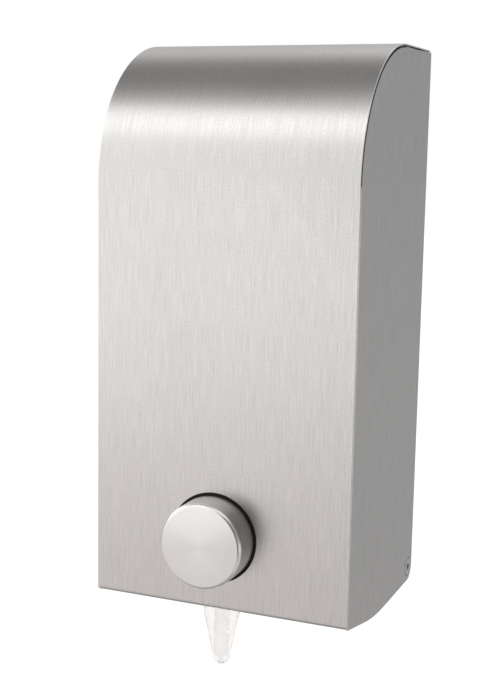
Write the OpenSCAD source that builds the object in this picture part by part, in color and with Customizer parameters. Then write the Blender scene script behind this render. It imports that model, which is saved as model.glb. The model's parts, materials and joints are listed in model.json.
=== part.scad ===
// Wall-mounted liquid soap dispenser with a push button.
// The wall plate stays on the wall. The housing tilts forward on two pivot
// screws and carries the tank, the pump, the nozzle, the button and the lock.
// Front faces -Y, the wall is the plane y = 0, and the origin is the middle
// of the four wall holes. All sizes are in millimetres.

/* [Housing] */
// Width across the front
housing_w = 120; // [112:1:150]
// Depth from the front face to the rear edge
housing_d = 103.5; // [100:0.5:125]
// Height of the side panels
housing_h = 256.5; // [250:0.5:300]
// Outside radius of the curved top
top_r = 62; // [50:1:66]
// Thickness of the steel sheet
sheet_t = 0.6; // [0.5:0.1:1.2]
// Shadow gap between the wrap and the edge of a side panel
seam_gap = 0.6; // [0.3:0.1:1.2]
// Height of the front edge above the lowest edge of the sides
front_rise = 8.1; // [6:0.1:10]
// Drop per millimetre of the sloping lower edge
floor_slope = 0.2; // [0.16:0.01:0.26]
// Radius that blends the sloping edge into the level one
floor_r = 150; // [60:5:170]
// Outside radius of the bend at the bottom of the front
hem_r = 2; // [1.8:0.1:3]
// Depth of the hem under the front
hem_d = 7; // [5:0.5:8]
// Outside radius of the bend at the back of the top
rear_bend_r = 3.5; // [3:0.1:5]
// Height of the lip at the back of the top
rear_lip = 10; // [7:0.5:11]
// Width of the flange folded along the front of a side panel
flange_w = 12; // [8:1:16]
// Outside radius of the bend along the front of a side panel
flange_r = 2.6; // [1.7:0.1:3.2]
// Width of the flange folded along the top of a side panel
rim_w = 3.5; // [2:0.1:6]
// Radius of the upper rear corner of a side panel
rear_corner_r = 1; // [0.5:0.1:2]

/* [Wall plate and pivot] */
// Gap between the housing and the wall
wall_gap = 0.5; // [0.3:0.1:1.5]
// Height of the middle of the wall holes above the lowest edge
mount_up = 136; // [130:1:142]
// Thickness of the wall plate
plate_t = 1.5; // [1.2:0.1:2.5]
// Gap between the edge of the wall plate and a side panel
plate_inset = 4.8; // [4:0.1:8]
// Distance of the top of the wall plate below the top of the strike
plate_drop = 4; // [3:0.5:6]
// Distance between wall holes, sideways
hole_dx = 80; // [60:1:90]
// Distance between wall holes, up and down
hole_dz = 172; // [166:1:176]
// Radius of a wall hole
hole_r = 2.75; // [2:0.05:3.25]
// Radius of the lower rear corner, which is centred on the pivot
corner_r = 7; // [6.5:0.1:9]
// Radius of the pivot screw head
pivot_head_r = 4.6; // [3.5:0.1:5]
// Radius of the pivot screw thread
pivot_thread_r = 2.5; // [2:0.1:3]
// Distance across the flats of the pivot nut
pivot_nut_af = 8; // [7:0.5:10]
// Thickness of the pivot nut
pivot_nut_t = 4; // [3:0.5:5]
// Space between an ear and its side panel, filled by the friction washer
washer_space = 1; // [0.8:0.1:1.5]
// Outside radius of the friction washer
washer_r = 7; // [6.2:0.1:7.5]
// Radius of the edge of an ear round the pivot
ear_r = 6.2; // [5.5:0.1:6.4]
// How far the housing tilts
tilt_deg = 40; // [30:1:45]
// Distance of the stop pin from the pivot
stop_r = 18; // [16:0.5:20]
// Radius of the stop pin
stop_pin_r = 2; // [1.5:0.1:2.5]

/* [Button and pump] */
// Place of the button to the right of the middle
button_x = -2.4; // [-6:0.1:6]
// Height of the button above the front edge
button_up = 32.6; // [31:0.1:36]
// Radius of the button cap
cap_r = 19; // [17.5:0.1:19.5]
// Wall of the button cap
cap_t = 0.9; // [0.6:0.1:1.2]
// How far the cap stands out of the front
cap_out = 15.5; // [13:0.5:20]
// Edge radius of the cap
cap_edge_r = 1.8; // [1.6:0.1:4]
// How far the cap reaches into the guide
cap_in = 2; // [1:0.1:3]
// Travel of the button
travel = 9; // [6:0.5:9.5]
// Wall of the button guide
guide_wall = 0.9; // [0.8:0.1:1.6]
// How far the guide's rim reaches past its sleeve
guide_rim = 0.4; // [0.3:0.05:1]
// Thickness of the guide's rim
guide_rim_t = 0.5; // [0.4:0.1:1.5]
// Room left behind the cap at the end of its travel
guide_room = 3; // [2:0.5:5]
// Thickness of the guide's rear wall
guide_back_t = 2; // [1.5:0.1:2.5]
// Thickness of the guide's retaining ring
circlip_t = 0.9; // [0.6:0.1:1.2]
// Width of the guide's retaining ring
circlip_w = 3; // [2:0.1:3.5]
// Radius of the plunger rod
rod_r = 4; // [3.5:0.1:4.5]
// Radius of the pump bore
bore_r = 7; // [6.6:0.1:7.5]
// Wall of the pump cylinder
cyl_wall = 2.5; // [2:0.1:3]
// Length of the pump bore past the valve port
bore_end_gap = 2; // [1:0.5:5]
// Length of the piston
piston_len = 6; // [5:0.5:7]
// Distance from the plunger's end of travel to the valve port
port_gap = 2; // [1.5:0.1:3]
// Radius of the valve ball
ball_r = 3.5; // [3:0.1:3.8]
// Lift of the valve ball
ball_lift = 2; // [1:0.1:2.5]
// Wire radius of the return spring
wire_r = 0.6; // [0.4:0.05:0.8]
// Curls of the return spring
spring_curls = 6; // [4:1:8]

/* [Nozzle] */
// Gap between the nozzle and the front sheet
nozzle_gap = 2.2; // [0.3:0.1:3]
// Radius of the nozzle at its neck
nozzle_r = 8.1; // [7:0.1:8.5]
// How far the tip hangs below the front edge
nozzle_drop = 29.6; // [24:0.1:36]
// Radius of the nozzle where the tip starts to round
nozzle_tip_r = 4.2; // [3.5:0.1:5.5]
// Thickness of the nozzle flange
nozzle_flange_t = 2; // [1.5:0.1:2.5]
// Thickness of the nozzle clamp
clamp_t = 1.6; // [1.2:0.1:1.8]

/* [Tank] */
// Gap between the pump's grommet and the tank's fitting
tank_clear = 2.7; // [1:0.1:6]
// Height of the tank
tank_h = 131; // [120:1:134]
// Wall of the tank
tank_wall = 1.8; // [1.4:0.1:2.4]
// Gap between the tank and the side panels
tank_gap = 3.3; // [2:0.1:6]
// Gap between the tank and the wall plate
tank_back_gap = 7; // [6:0.5:10]
// Gap between the tank and the front sheet
tank_front_gap = 4; // [3:0.5:8]
// Depth of the flat between the tank's curved front top and its shoulder
tank_flat = 8.3; // [5:0.1:20]
// Slope of the filler shoulder, along each leg
shoulder = 42; // [40:1:44]
// Radius of the filler neck
neck_r = 15; // [12:0.5:16]
// Height of the filler neck
neck_h = 9; // [7:0.5:10]
// Thickness of the filler cap's top
filler_top_t = 2.2; // [1.5:0.1:3.5]
// Wall of the filler cap
filler_wall = 3.2; // [2.5:0.1:3.6]

/* [Lock] */
// Distance of the lock's axis from the wall
lock_in = 26; // [24:0.5:30]
// Radius of the lock housing
lock_r = 8; // [7:0.1:8.5]
// Length of the lock housing under the top face
lock_len = 15.5; // [14:0.5:16]
// Radius of the lock plug
plug_r = 5.5; // [5:0.1:6]
// Length of the lock cam
cam_len = 21; // [18:0.5:22]
// Width of the lock cam
cam_w = 12; // [10:0.5:12]
// Thickness of the lock cam
cam_t = 2; // [1.5:0.1:2.5]

/* [Hidden] */
$fn = 64;

// Clearances: a running fit, a loose fit and an overshoot for clean cuts
run_gap = 0.05;
loose_gap = 0.1;
rest_gap = 0.15;
over = 1;

// Main planes of the housing
front_y = -(housing_d + wall_gap);
inner_y = front_y + sheet_t;
back_y = -wall_gap;
base_z = -mount_up;
top_z = base_z + housing_h;
front_z = base_z + front_rise;
side_x = housing_w / 2;
panel_x = side_x - sheet_t;
arc_y = front_y + top_r;
arc_z = top_z - top_r;
seam = sheet_t + seam_gap;
knee_y = front_y + front_rise / floor_slope;
hem_x = panel_x - loose_gap;

// Pivot, ears and stop
pivot_y = back_y - corner_r;
pivot_z = base_z + corner_r;
ear_x = panel_x - washer_space;
ear_margin = 3.5;
ear_outer_r = stop_r + stop_pin_r + ear_margin;
plate_low = 2;
plate_low_z = pivot_z + plate_low;
plate_x = panel_x - plate_inset;
pin_gap = 0.25;
pin_start_deg = 100;
pin_end = 1.5;
pin_reach = washer_space + plate_t + pin_end;
head_proud = 0.2;

// Button: distances behind the front face are measured along the button axis
button_z = front_z + button_up;
guide_bore_r = cap_r + run_gap;
guide_r = guide_bore_r + guide_wall;
spring_seat = cap_in + travel + guide_room;
guide_d = spring_seat + guide_back_t;
cap_face = cap_t - cap_out;
disc_t = 3;
disc_back = cap_face + disc_t;
boss_wall = 2.5;
boss_r = rod_r + boss_wall;
boss_len = 3;
spring_gap = 1.1;
spring_r = boss_r + spring_gap + wire_r;
clip_t = 0.9;
clip_reach = 2.2;
clip_r = rod_r + clip_reach;
clip_groove_d = 0.6;
clip_groove_r = rod_r - clip_groove_d;
clip_at = guide_d + rest_gap;
piston_at = guide_d + travel;
piston_face = piston_at + piston_len;
piston_shoulder = 1.5;
piston_pin_r = rod_r - piston_shoulder;
piston_end_t = 1;
piston_pin_len = piston_len - piston_end_t;
seal_w = 1.8;
seal_groove_r = bore_r - seal_w;
seal_edge = 1.25;
seal_at = piston_at + seal_edge;
seal_len = piston_len - 2 * seal_edge;
piston_gap = 0.3;
piston_r = bore_r - piston_gap;

// Pump cylinder, inlet tower and outlet stub
screw_r = 1.5;
screw_head_r = 2.8;
screw_head_t = 2;
screw_socket_af = 2.5;
head_gap = 0.2;
cyl_r = bore_r + cyl_wall;
cyl_flange_t = 2.5;
pump_screw_at = cyl_r + screw_head_r + head_gap;
cyl_flange_r = pump_screw_at + screw_head_r + head_gap;
port_s = piston_face + travel + port_gap;
port_y = front_y + port_s;
port_r = 2;
bore_len = port_s + port_r + bore_end_gap - guide_d;
cyl_end_t = 2;
cyl_end = guide_d + bore_len + cyl_end_t;
ball_gap = 0.1;
chamber_gap = 1.1;
ball_chamber_r = ball_r + chamber_gap;
chamber_floor = cyl_r;
ball_rest = chamber_floor + sqrt(ball_r * ball_r - port_r * port_r) + ball_gap;
seat_bore_r = 2.6;
seat_at = ball_rest + ball_lift + ball_gap + sqrt(ball_r * ball_r - seat_bore_r * seat_bore_r);
seat_ledge = 1.4;
seat_r = ball_chamber_r + seat_ledge;
seat_t = 3;
spigot_r = 4.5;
spigot_wall = 1.5;
spigot_gap = 1;
grommet_step = 0.5;
grommet_r = seat_r + grommet_step;
tower_wall = 2;
tower_r = grommet_r + tower_wall;
grommet_len = 6;
grommet_flange_t = 1.6;
tower_top = seat_at + seat_t + grommet_len;
stub_r = 5;
stub_len = 6.5;
stub_end = cyl_r + stub_len;
stub_seal_t = 1;

// Outlet manifold, under the guide
guide_gap = 0.6;
hem_room = 1.35;
manifold_top = guide_r + guide_gap;
manifold_t = button_up - manifold_top - nozzle_flange_t - clamp_t - sheet_t - hem_room;
manifold_wall = 1.5;
manifold_bottom = manifold_top + manifold_t;
manifold_x = 8;
channel_x = 2.5;
socket_wall = 3;
socket_r = stub_r + socket_wall;
socket_gap = 2;
nozzle_y = inner_y + nozzle_gap + nozzle_r;
nozzle_flange_w = 4;
nozzle_flange_x = nozzle_r + nozzle_flange_w;
nozzle_flange_back = 0.8;
clamp_screw_gap = 1.5;
clamp_screw_x = nozzle_flange_x + clamp_screw_gap + screw_r;
clamp_screw_back = 2;
clamp_screw_y = nozzle_y + clamp_screw_back;
clamp_edge = 0.7;
pad_x = clamp_screw_x + screw_head_r + clamp_edge;
pad_gap = 1;
pad_front_y = inner_y + circlip_t + pad_gap;
pad_back = 2.3;
pad_back_y = nozzle_y + nozzle_r + pad_back;

// Nozzle, from its flange down
flange_z = button_z - manifold_bottom;
neck_z = flange_z - nozzle_flange_t;
tip_z = front_z - nozzle_drop;
tip_h = 4.6;
taper_drop = 5.5;
taper_z = front_z - taper_drop;
waist_drop = 14.5;
waist_z = front_z - waist_drop;
waist_more = 1.85;
waist_r = nozzle_tip_r + waist_more;
nozzle_bore_r = 3;
nozzle_hole_r = 1.2;
nozzle_relief = 1.2;
clamp_front = 2.5;
clamp_thread = 4;
clamp_hole_gap = 0.5;

// Tank, in the housing above the pump
fitting_nut_t = 4;
fitting_end = 0.4;
tank_z = button_z + tower_top + grommet_flange_t + tank_clear + fitting_end + fitting_nut_t;
tank_top_z = tank_z + tank_h;
tank_x = panel_x - tank_gap;
tank_front_y = inner_y + tank_front_gap;
tank_back_y = -plate_t - tank_back_gap;
tank_top_r = tank_back_y - tank_front_y - shoulder - tank_flat;
tank_edge_r = 8;
tank_corner_r = 8;
shoulder_r = 8;
tray_t = sheet_t;
tray_front_in = 3;
tray_front_y = tank_front_y + tray_front_in;
tray_back_in = 4;
tray_back_y = tank_back_y - tray_back_in;
tray_tab = 12;
tank_screw_x = 30;
tank_screw_y = (tank_front_y + tank_back_y) / 2;
tank_screw_r = 2;
tank_pad_r = 6;
tank_pad_h = 9;
filler_y = tank_back_y - shoulder / 2;
filler_z = tank_top_z - shoulder / 2;
filler_at = 1.5;
filler_seal_t = 1.2;
filler_depth = neck_h - filler_at + filler_seal_t + 2 * loose_gap;
filler_h = filler_depth + filler_top_t;
filler_r = neck_r + loose_gap + filler_wall;
filler_seal_lip = 1;
fitting_flange_r = 9.5;
fitting_flange_t = 2;
fitting_seal_t = 1;
fitting_r = 5.9;
fitting_nut_af = 16;
fitting_hole_r = fitting_r + loose_gap;
fitting_seal_in = 0.5;
tray_hole_gap = 1.2;
tray_hole_r = fitting_nut_af / 2 / cos(30) + tray_hole_gap;

// Lock and strike
lock_y = -lock_in;
lock_rim = 1.5;
lock_rim_t = 0.5;
lock_nut_t = 3.5;
lock_nut_af = 19;
plug_more = 2;
plug_len = lock_len + plug_more;
plug_recess = 0.2;
plug_hole_d = 6;
cam_top_z = top_z - plug_len;
cam_square = 6;
strike_t = 1.5;
strike_gap = 2;
strike_x = lock_r + strike_gap;
strike_w = 14;
cam_gap = 1;
cam_play = 0.5;
cam_more = 0.5;
strike_top_z = cam_top_z - cam_t - cam_gap;
strike_front_y = lock_y - cam_w / 2 - cam_play - strike_t;
plate_top_z = strike_top_z - plate_drop;
strike_lap = 20;
strike_leaf_z = plate_top_z - strike_lap;
strike_lip = 6;
rivet_r = 1.6;
rivet_head_r = 3;
rivet_head_t = 1;
rivet_pitch = 10;
rivet_edge = 5;

steel = "#c9cbcc";
dark_steel = "#9a9c9e";
black = "#1c1c1e";
white = "#eeeeea";
milky = "#dfe3e4";
rubber = "#2b2b2d";

// An outline whose corners are [y, z, radius], as points with the corners rounded
function corner_points(a, b, c, r) =
    let (
        u = (a - b) / norm(a - b),
        v = (c - b) / norm(c - b),
        half = acos(u * v) / 2,
        centre = b + (u + v) / norm(u + v) * r / sin(half),
        from = b + u * r / tan(half) - centre,
        turn = (180 - 2 * half) * sign(u[1] * v[0] - u[0] * v[1]),
        start = atan2(from[1], from[0]),
        steps = ceil(abs(turn) / 5)
    )
    [for (i = [0:steps]) centre + r * [cos(start + turn * i / steps), sin(start + turn * i / steps)]];

function flat(p) = [p[0], p[1]];

function rounded(p) =
    let (n = len(p))
    [for (i = [0:n - 1]) each p[i][2] > 0
        ? corner_points(flat(p[(i + n - 1) % n]), flat(p[i]), flat(p[(i + 1) % n]), p[i][2])
        : [flat(p[i])]];

function rounded_box(x0, x1, y0, y1, r) = rounded([[x0, y0, r], [x1, y0, r], [x1, y1, r], [x0, y1, r]]);

// Extrusions of an outline along each axis
module along_x(x0, x1) {
    translate([x0, 0, 0]) rotate([90, 0, 90]) linear_extrude(x1 - x0) children();
}

module along_y(y0, y1) {
    translate([0, y1, 0]) rotate([90, 0, 0]) linear_extrude(y1 - y0) children();
}

module along_z(z0, z1) {
    translate([0, 0, z0]) linear_extrude(z1 - z0) children();
}

module rod_x(x0, x1, y, z, r) {
    translate([x0, y, z]) rotate([0, 90, 0]) cylinder(h = x1 - x0, r = r);
}

module rod_y(x, y0, y1, z, r) {
    translate([x, y0, z]) rotate([-90, 0, 0]) cylinder(h = y1 - y0, r = r);
}

module rod_z(x, y, z0, z1, r) {
    translate([x, y, z0]) cylinder(h = z1 - z0, r = r);
}

module block(x0, x1, y0, y1, z0, z1) {
    translate([x0, y0, z0]) cube([x1 - x0, y1 - y0, z1 - z0]);
}

module ring(r_out, r_in, z0, z1) {
    translate([0, 0, z0]) difference() {
        cylinder(h = z1 - z0, r = r_out);
        translate([0, 0, -over]) cylinder(h = z1 - z0 + 2 * over, r = r_in);
    }
}

module hex(af, z0, z1) {
    translate([0, 0, z0]) cylinder(h = z1 - z0, r = af / 2 / cos(30), $fn = 6);
}

module both_sides() {
    children();
    mirror([1, 0, 0]) children();
}

// Local frames: z runs into the housing along the button axis, up the inlet
// tower and out of the filler neck
module on_button() {
    translate([button_x, front_y, button_z]) rotate([-90, 0, 0]) children();
}

module on_port() {
    translate([button_x, port_y, button_z]) children();
}

module on_filler() {
    translate([0, filler_y, filler_z]) rotate([-45, 0, 0]) children();
}

module on_lock() {
    translate([0, lock_y, top_z]) children();
}

// A quarter of a bent sheet round a centre, on the side that side_y and side_z name
module bend(centre, r, side_y, side_z) {
    translate(centre) intersection() {
        difference() {
            circle(r);
            circle(r - sheet_t);
        }
        translate([side_y < 0 ? -r : 0, side_z < 0 ? -r : 0]) square(r);
    }
}

module wrap_profile() {
    translate([front_y, front_z + hem_r]) square([sheet_t, arc_z - front_z - hem_r]);
    bend([arc_y, arc_z], top_r, -1, 1);
    translate([arc_y, top_z - sheet_t]) square([back_y - rear_bend_r - arc_y, sheet_t]);
    bend([back_y - rear_bend_r, top_z - rear_bend_r], rear_bend_r, 1, 1);
    translate([back_y - sheet_t, top_z - rear_lip]) square([sheet_t, rear_lip - rear_bend_r]);
    bend([front_y + hem_r, front_z + hem_r], hem_r, -1, -1);
    translate([front_y + hem_r, front_z]) square([hem_d - hem_r, sheet_t]);
}

module front_wrap() {
    color(steel) difference() {
        along_x(-side_x, side_x) wrap_profile();
        // The hem stops short of the side panels
        both_sides()
            block(hem_x, side_x + over, inner_y, inner_y + hem_d, front_z - over, front_z + hem_r);
        rod_y(button_x, front_y - over, inner_y + over, button_z, guide_r + run_gap);
        // Room for the nozzle in the hem
        intersection() {
            rod_z(button_x, nozzle_y, front_z - over, front_z + hem_r, nozzle_r + nozzle_relief);
            block(-side_x, side_x, inner_y, inner_y + hem_d, front_z - over, front_z + hem_r);
        }
        // The rear lip stops short of the side panels too
        both_sides()
            block(
                hem_x, side_x + over, back_y - rear_bend_r, back_y + over,
                top_z - rear_lip - over, top_z - sheet_t
            );
        rod_z(0, lock_y, top_z - sheet_t - over, top_z + over, lock_r + run_gap);
    }
}

module panel_outline() {
    polygon(rounded([
        [inner_y, front_z - floor_slope * sheet_t, 0],
        [knee_y, base_z, floor_r],
        [back_y, base_z, corner_r],
        [back_y, top_z - seam, rear_corner_r],
        [front_y + seam, top_z - seam, top_r - seam],
        [front_y + seam, arc_z, 0],
        [inner_y, arc_z, 0]
    ]));
}

// Section of the flange under the curve and the flat top, clear of the front flange
module panel_rim() {
    rim_start = 2;
    rim_r = top_r - seam - loose_gap;
    difference() {
        bend([arc_y, arc_z], rim_r, -1, 1);
        translate([front_y, arc_z - over]) square([top_r, over + rim_start]);
    }
    translate([arc_y, arc_z + rim_r - sheet_t]) square([back_y - rear_bend_r - arc_y, sheet_t]);
}

// The right-hand panel, with its front and top edges folded in behind the wrap
module side_panel() {
    flange_z = front_z + hem_r + loose_gap;
    fold = [side_x - flange_r, inner_y + flange_r];
    color(steel) difference() {
        union() {
            difference() {
                along_x(panel_x, side_x) panel_outline();
                // Outside of the fold
                along_z(base_z, arc_z + over) translate(fold) mirror([0, 1]) corner_cut(flange_r);
            }
            along_z(flange_z, arc_z) {
                bend(fold, flange_r, 1, -1);
                translate([side_x - flange_w, inner_y]) square([flange_w - flange_r, sheet_t]);
            }
            along_x(side_x - rim_w, side_x - sheet_t / 2) panel_rim();
        }
        rod_x(panel_x - over, side_x + over, pivot_y, pivot_z, pivot_head_r + run_gap);
    }
}

module right_side_panel() {
    side_panel();
}

module left_side_panel() {
    mirror([1, 0, 0]) side_panel();
}

module stop_pins() {
    color(dark_steel) both_sides()
        rod_x(
            panel_x - pin_reach,
            panel_x,
            pivot_y + stop_r * cos(pin_start_deg),
            pivot_z + stop_r * sin(pin_start_deg),
            stop_pin_r
        );
}

// A pie slice round the pivot, from one angle to another
module wedge(from_deg, to_deg) {
    reach = 3 * ear_outer_r;
    mid_deg = (from_deg + to_deg) / 2;
    polygon([
        [0, 0],
        reach * [cos(from_deg), sin(from_deg)],
        reach * [cos(mid_deg), sin(mid_deg)],
        reach * [cos(to_deg), sin(to_deg)]
    ]);
}

module ear_outline() {
    slot_r = stop_pin_r + pin_gap;
    end_deg = pin_start_deg + tilt_deg;
    margin_deg = 12;
    translate([pivot_y, pivot_z]) difference() {
        union() {
            circle(ear_r);
            square([-pivot_y, ear_outer_r]);
            intersection() {
                circle(ear_outer_r);
                wedge(90 - margin_deg, end_deg + margin_deg);
            }
        }
        circle(pivot_thread_r);
        intersection() {
            difference() {
                circle(stop_r + slot_r);
                circle(stop_r - slot_r);
            }
            wedge(pin_start_deg, end_deg);
        }
        for (at_deg = [pin_start_deg, end_deg])
            translate(stop_r * [cos(at_deg), sin(at_deg)]) circle(slot_r);
    }
}

module wall_plate() {
    plate_corner_r = 6;
    wing_top_z = pivot_z + ear_outer_r;
    color(dark_steel) difference() {
        union() {
            along_y(-plate_t, 0)
                polygon(rounded_box(-plate_x, plate_x, plate_low_z, plate_top_z, plate_corner_r));
            along_y(-plate_t, 0)
                translate([-ear_x, plate_low_z]) square([2 * ear_x, wing_top_z - plate_low_z]);
            both_sides() along_x(ear_x - plate_t, ear_x) ear_outline();
        }
        for (x = [-hole_dx / 2, hole_dx / 2], z = [-hole_dz / 2, hole_dz / 2])
            rod_y(x, -plate_t - over, over, z, hole_r);
        strike_rivet_holes(-plate_t - over, over);
    }
}

module pivot_nuts() {
    color(dark_steel) both_sides()
        translate([ear_x - plate_t - pivot_nut_t, pivot_y, pivot_z]) rotate([0, 90, 0]) difference() {
            hex(pivot_nut_af, 0, pivot_nut_t);
            translate([0, 0, -over]) cylinder(h = pivot_nut_t + 2 * over, r = pivot_thread_r);
        }
}

module pivot_screws() {
    socket_af = 3;
    socket_d = 1.2;
    step_w = 0.45;
    step_d = 0.6;
    thread_len = plate_t + pivot_nut_t + 1;
    head_t = washer_space + sheet_t + head_proud;
    color(steel) both_sides() translate([ear_x, pivot_y, pivot_z]) rotate([0, 90, 0]) difference() {
        union() {
            cylinder(h = head_t, r = pivot_head_r);
            translate([0, 0, -thread_len]) cylinder(h = thread_len, r = pivot_thread_r - run_gap);
        }
        hex(socket_af, head_t - socket_d, head_t + over);
        // Step that leaves a groove round the head
        ring(pivot_head_r + over, pivot_head_r - step_w, head_t - step_d, head_t + over);
    }
}

module friction_washers() {
    color(black) both_sides() translate([ear_x, pivot_y, pivot_z]) rotate([0, 90, 0])
        ring(washer_r, pivot_head_r + loose_gap, loose_gap, washer_space - loose_gap);
}

module strike_rivet_spots() {
    for (i = [0, 1])
        translate([strike_x + strike_w / 2, 0, strike_leaf_z + rivet_edge + i * rivet_pitch]) children();
}

module strike_rivet_holes(y0, y1) {
    strike_rivet_spots() rod_y(0, y0, y1, 0, rivet_r + run_gap);
}

module lock_strike() {
    leaf_y = -plate_t - strike_t;
    lip_y = strike_front_y + strike_t;
    arm_z = strike_top_z - strike_t;
    color(dark_steel) difference() {
        union() {
            block(strike_x, strike_x + strike_w, leaf_y, -plate_t, strike_leaf_z, strike_top_z);
            block(strike_x, strike_x + strike_w, strike_front_y, -plate_t, arm_z, strike_top_z);
            block(strike_x, strike_x + strike_w, strike_front_y, lip_y, arm_z, strike_top_z + strike_lip);
        }
        strike_rivet_holes(leaf_y - over, over);
    }
}

module strike_rivets() {
    leaf_y = -plate_t - strike_t;
    color(steel) strike_rivet_spots() {
        rod_y(0, leaf_y - rivet_head_t, leaf_y, 0, rivet_head_r);
        rod_y(0, leaf_y, 0, 0, rivet_r);
    }
}

module tank_tray() {
    tray_z = tank_z - tray_t;
    color(dark_steel) difference() {
        union() {
            block(-panel_x, panel_x, tray_front_y, tray_back_y, tray_z, tank_z);
            both_sides()
                block(panel_x - tray_t, panel_x, tray_front_y, tray_back_y, tank_z - tray_tab, tank_z);
        }
        rod_z(button_x, port_y, tray_z - over, tank_z + over, tray_hole_r);
        both_sides()
            rod_z(tank_screw_x, tank_screw_y, tray_z - over, tank_z + over, tank_screw_r + run_gap);
    }
}

// Side view of the tank, drawn in by a wall
function tank_side(inset) =
    let (
        slope_shift = inset * (sqrt(2) - 1),
        y0 = tank_front_y + inset,
        y1 = tank_back_y - inset,
        z0 = tank_z + inset,
        z1 = tank_top_z - inset
    )
    rounded([
        [y0, z0, tank_edge_r - inset],
        [y1, z0, tank_edge_r - inset],
        [y1, tank_top_z - shoulder - slope_shift, shoulder_r - inset],
        [tank_back_y - shoulder - slope_shift, z1, shoulder_r - inset],
        [y0, z1, tank_top_r - inset]
    ]);

// The side view across the full width, with the four upright edges rounded
module tank_body(inset) {
    x = tank_x - inset;
    y0 = tank_front_y + inset;
    y1 = tank_back_y - inset;
    r = tank_corner_r - inset;
    difference() {
        along_x(-x, x) polygon(tank_side(inset));
        both_sides() along_z(tank_z - over, tank_top_z + over) {
            translate([x - r, y0 + r]) mirror([0, 1]) corner_cut(r);
            translate([x - r, y1 - r]) corner_cut(r);
        }
    }
}

// What a rounded corner loses, in the quarter towards +x and +y of its centre
module corner_cut(r) {
    difference() {
        square(r + over);
        circle(r);
    }
}

module tank() {
    neck_bore_r = neck_r - tank_wall;
    pad_top_z = tank_z + tank_pad_h;
    color(milky) difference() {
        union() {
            difference() {
                union() {
                    tank_body(0);
                    on_filler() translate([0, 0, -tank_wall]) cylinder(h = neck_h + tank_wall, r = neck_r);
                }
                tank_body(tank_wall);
                on_filler() translate([0, 0, -2 * tank_wall])
                    cylinder(h = neck_h + 2 * tank_wall + over, r = neck_bore_r);
                rod_z(button_x, port_y, tank_z - over, tank_z + tank_wall + over, fitting_hole_r);
            }
            both_sides() rod_z(tank_screw_x, tank_screw_y, tank_z, pad_top_z, tank_pad_r);
        }
        both_sides()
            rod_z(
                tank_screw_x, tank_screw_y, tank_z - over, pad_top_z - tank_wall,
                tank_screw_r + run_gap
            );
    }
}

module tank_screws() {
    head_r = 3.8;
    head_t = 2.6;
    socket_af = 3;
    socket_d = 1.5;
    end_gap = 1;
    tray_z = tank_z - tray_t;
    color(steel) both_sides() translate([tank_screw_x, tank_screw_y, tray_z]) difference() {
        union() {
            translate([0, 0, -head_t]) cylinder(h = head_t, r = head_r);
            cylinder(h = tray_t + tank_pad_h - tank_wall - end_gap, r = tank_screw_r);
        }
        hex(socket_af, -head_t - over, -head_t + socket_d);
    }
}

module filler_cap() {
    grips = 16;
    grip_r = 1.2;
    grip_out = 0.4;
    grip_stop = 1;
    bar_w = 6;
    bar_h = 4;
    bar_in = 2;
    top = filler_at + filler_h;
    color(white) on_filler() difference() {
        union() {
            translate([0, 0, filler_at]) cylinder(h = filler_h, r = filler_r);
            intersection() {
                block(-filler_r, filler_r, -bar_w / 2, bar_w / 2, top - over, top + bar_h);
                cylinder(h = top + bar_h, r = filler_r - bar_in);
            }
        }
        translate([0, 0, filler_at - over])
            cylinder(h = filler_depth + over, r = neck_r + loose_gap);
        for (i = [0:grips - 1])
            rotate(i * 360 / grips) translate([filler_r + grip_out, 0, filler_at - over])
                cylinder(h = filler_h - grip_stop, r = grip_r);
    }
}

module filler_seal() {
    low = neck_h + loose_gap;
    color(rubber) on_filler()
        ring(neck_r, neck_r - tank_wall - filler_seal_lip, low, low + filler_seal_t);
}

// The fitting drops through the tank floor, and a nut draws it down on its seal
module outlet_fitting() {
    floor_z = tank_z + tank_wall;
    flange_low_z = floor_z + fitting_seal_t;
    nut_low_z = tank_z - fitting_nut_t;
    flange_top_z = flange_low_z + fitting_flange_t;
    spigot_z = button_z + seat_at + seat_t + spigot_gap;
    color(white) difference() {
        union() {
            rod_z(button_x, port_y, flange_low_z, flange_top_z, fitting_flange_r);
            rod_z(button_x, port_y, nut_low_z - fitting_end, flange_low_z, fitting_r);
            rod_z(button_x, port_y, spigot_z, nut_low_z, spigot_r);
        }
        rod_z(button_x, port_y, spigot_z - over, flange_top_z + over, spigot_r - spigot_wall);
    }
}

module fitting_seal() {
    floor_z = tank_z + tank_wall;
    color(rubber) translate([button_x, port_y, 0])
        ring(fitting_flange_r - fitting_seal_in, fitting_hole_r, floor_z, floor_z + fitting_seal_t);
}

module fitting_nut() {
    color(white) translate([button_x, port_y, tank_z - fitting_nut_t]) difference() {
        hex(fitting_nut_af, 0, fitting_nut_t);
        translate([0, 0, -over]) cylinder(h = fitting_nut_t + 2 * over, r = fitting_hole_r);
    }
}

// Half section of a closed cup with its front edge rounded
module cap_section(r, face, back, edge_r) {
    translate([0, face + edge_r]) square([r, back - face - edge_r]);
    translate([0, face]) square([r - edge_r, edge_r]);
    intersection() {
        translate([r - edge_r, face + edge_r]) circle(edge_r);
        translate([r - edge_r, face]) square(edge_r);
    }
}

module button_cap() {
    color(steel) on_button() rotate_extrude() difference() {
        cap_section(cap_r, -cap_out, cap_in, cap_edge_r);
        cap_section(cap_r - cap_t, cap_face, cap_in + over, cap_edge_r - cap_t);
    }
}

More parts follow.
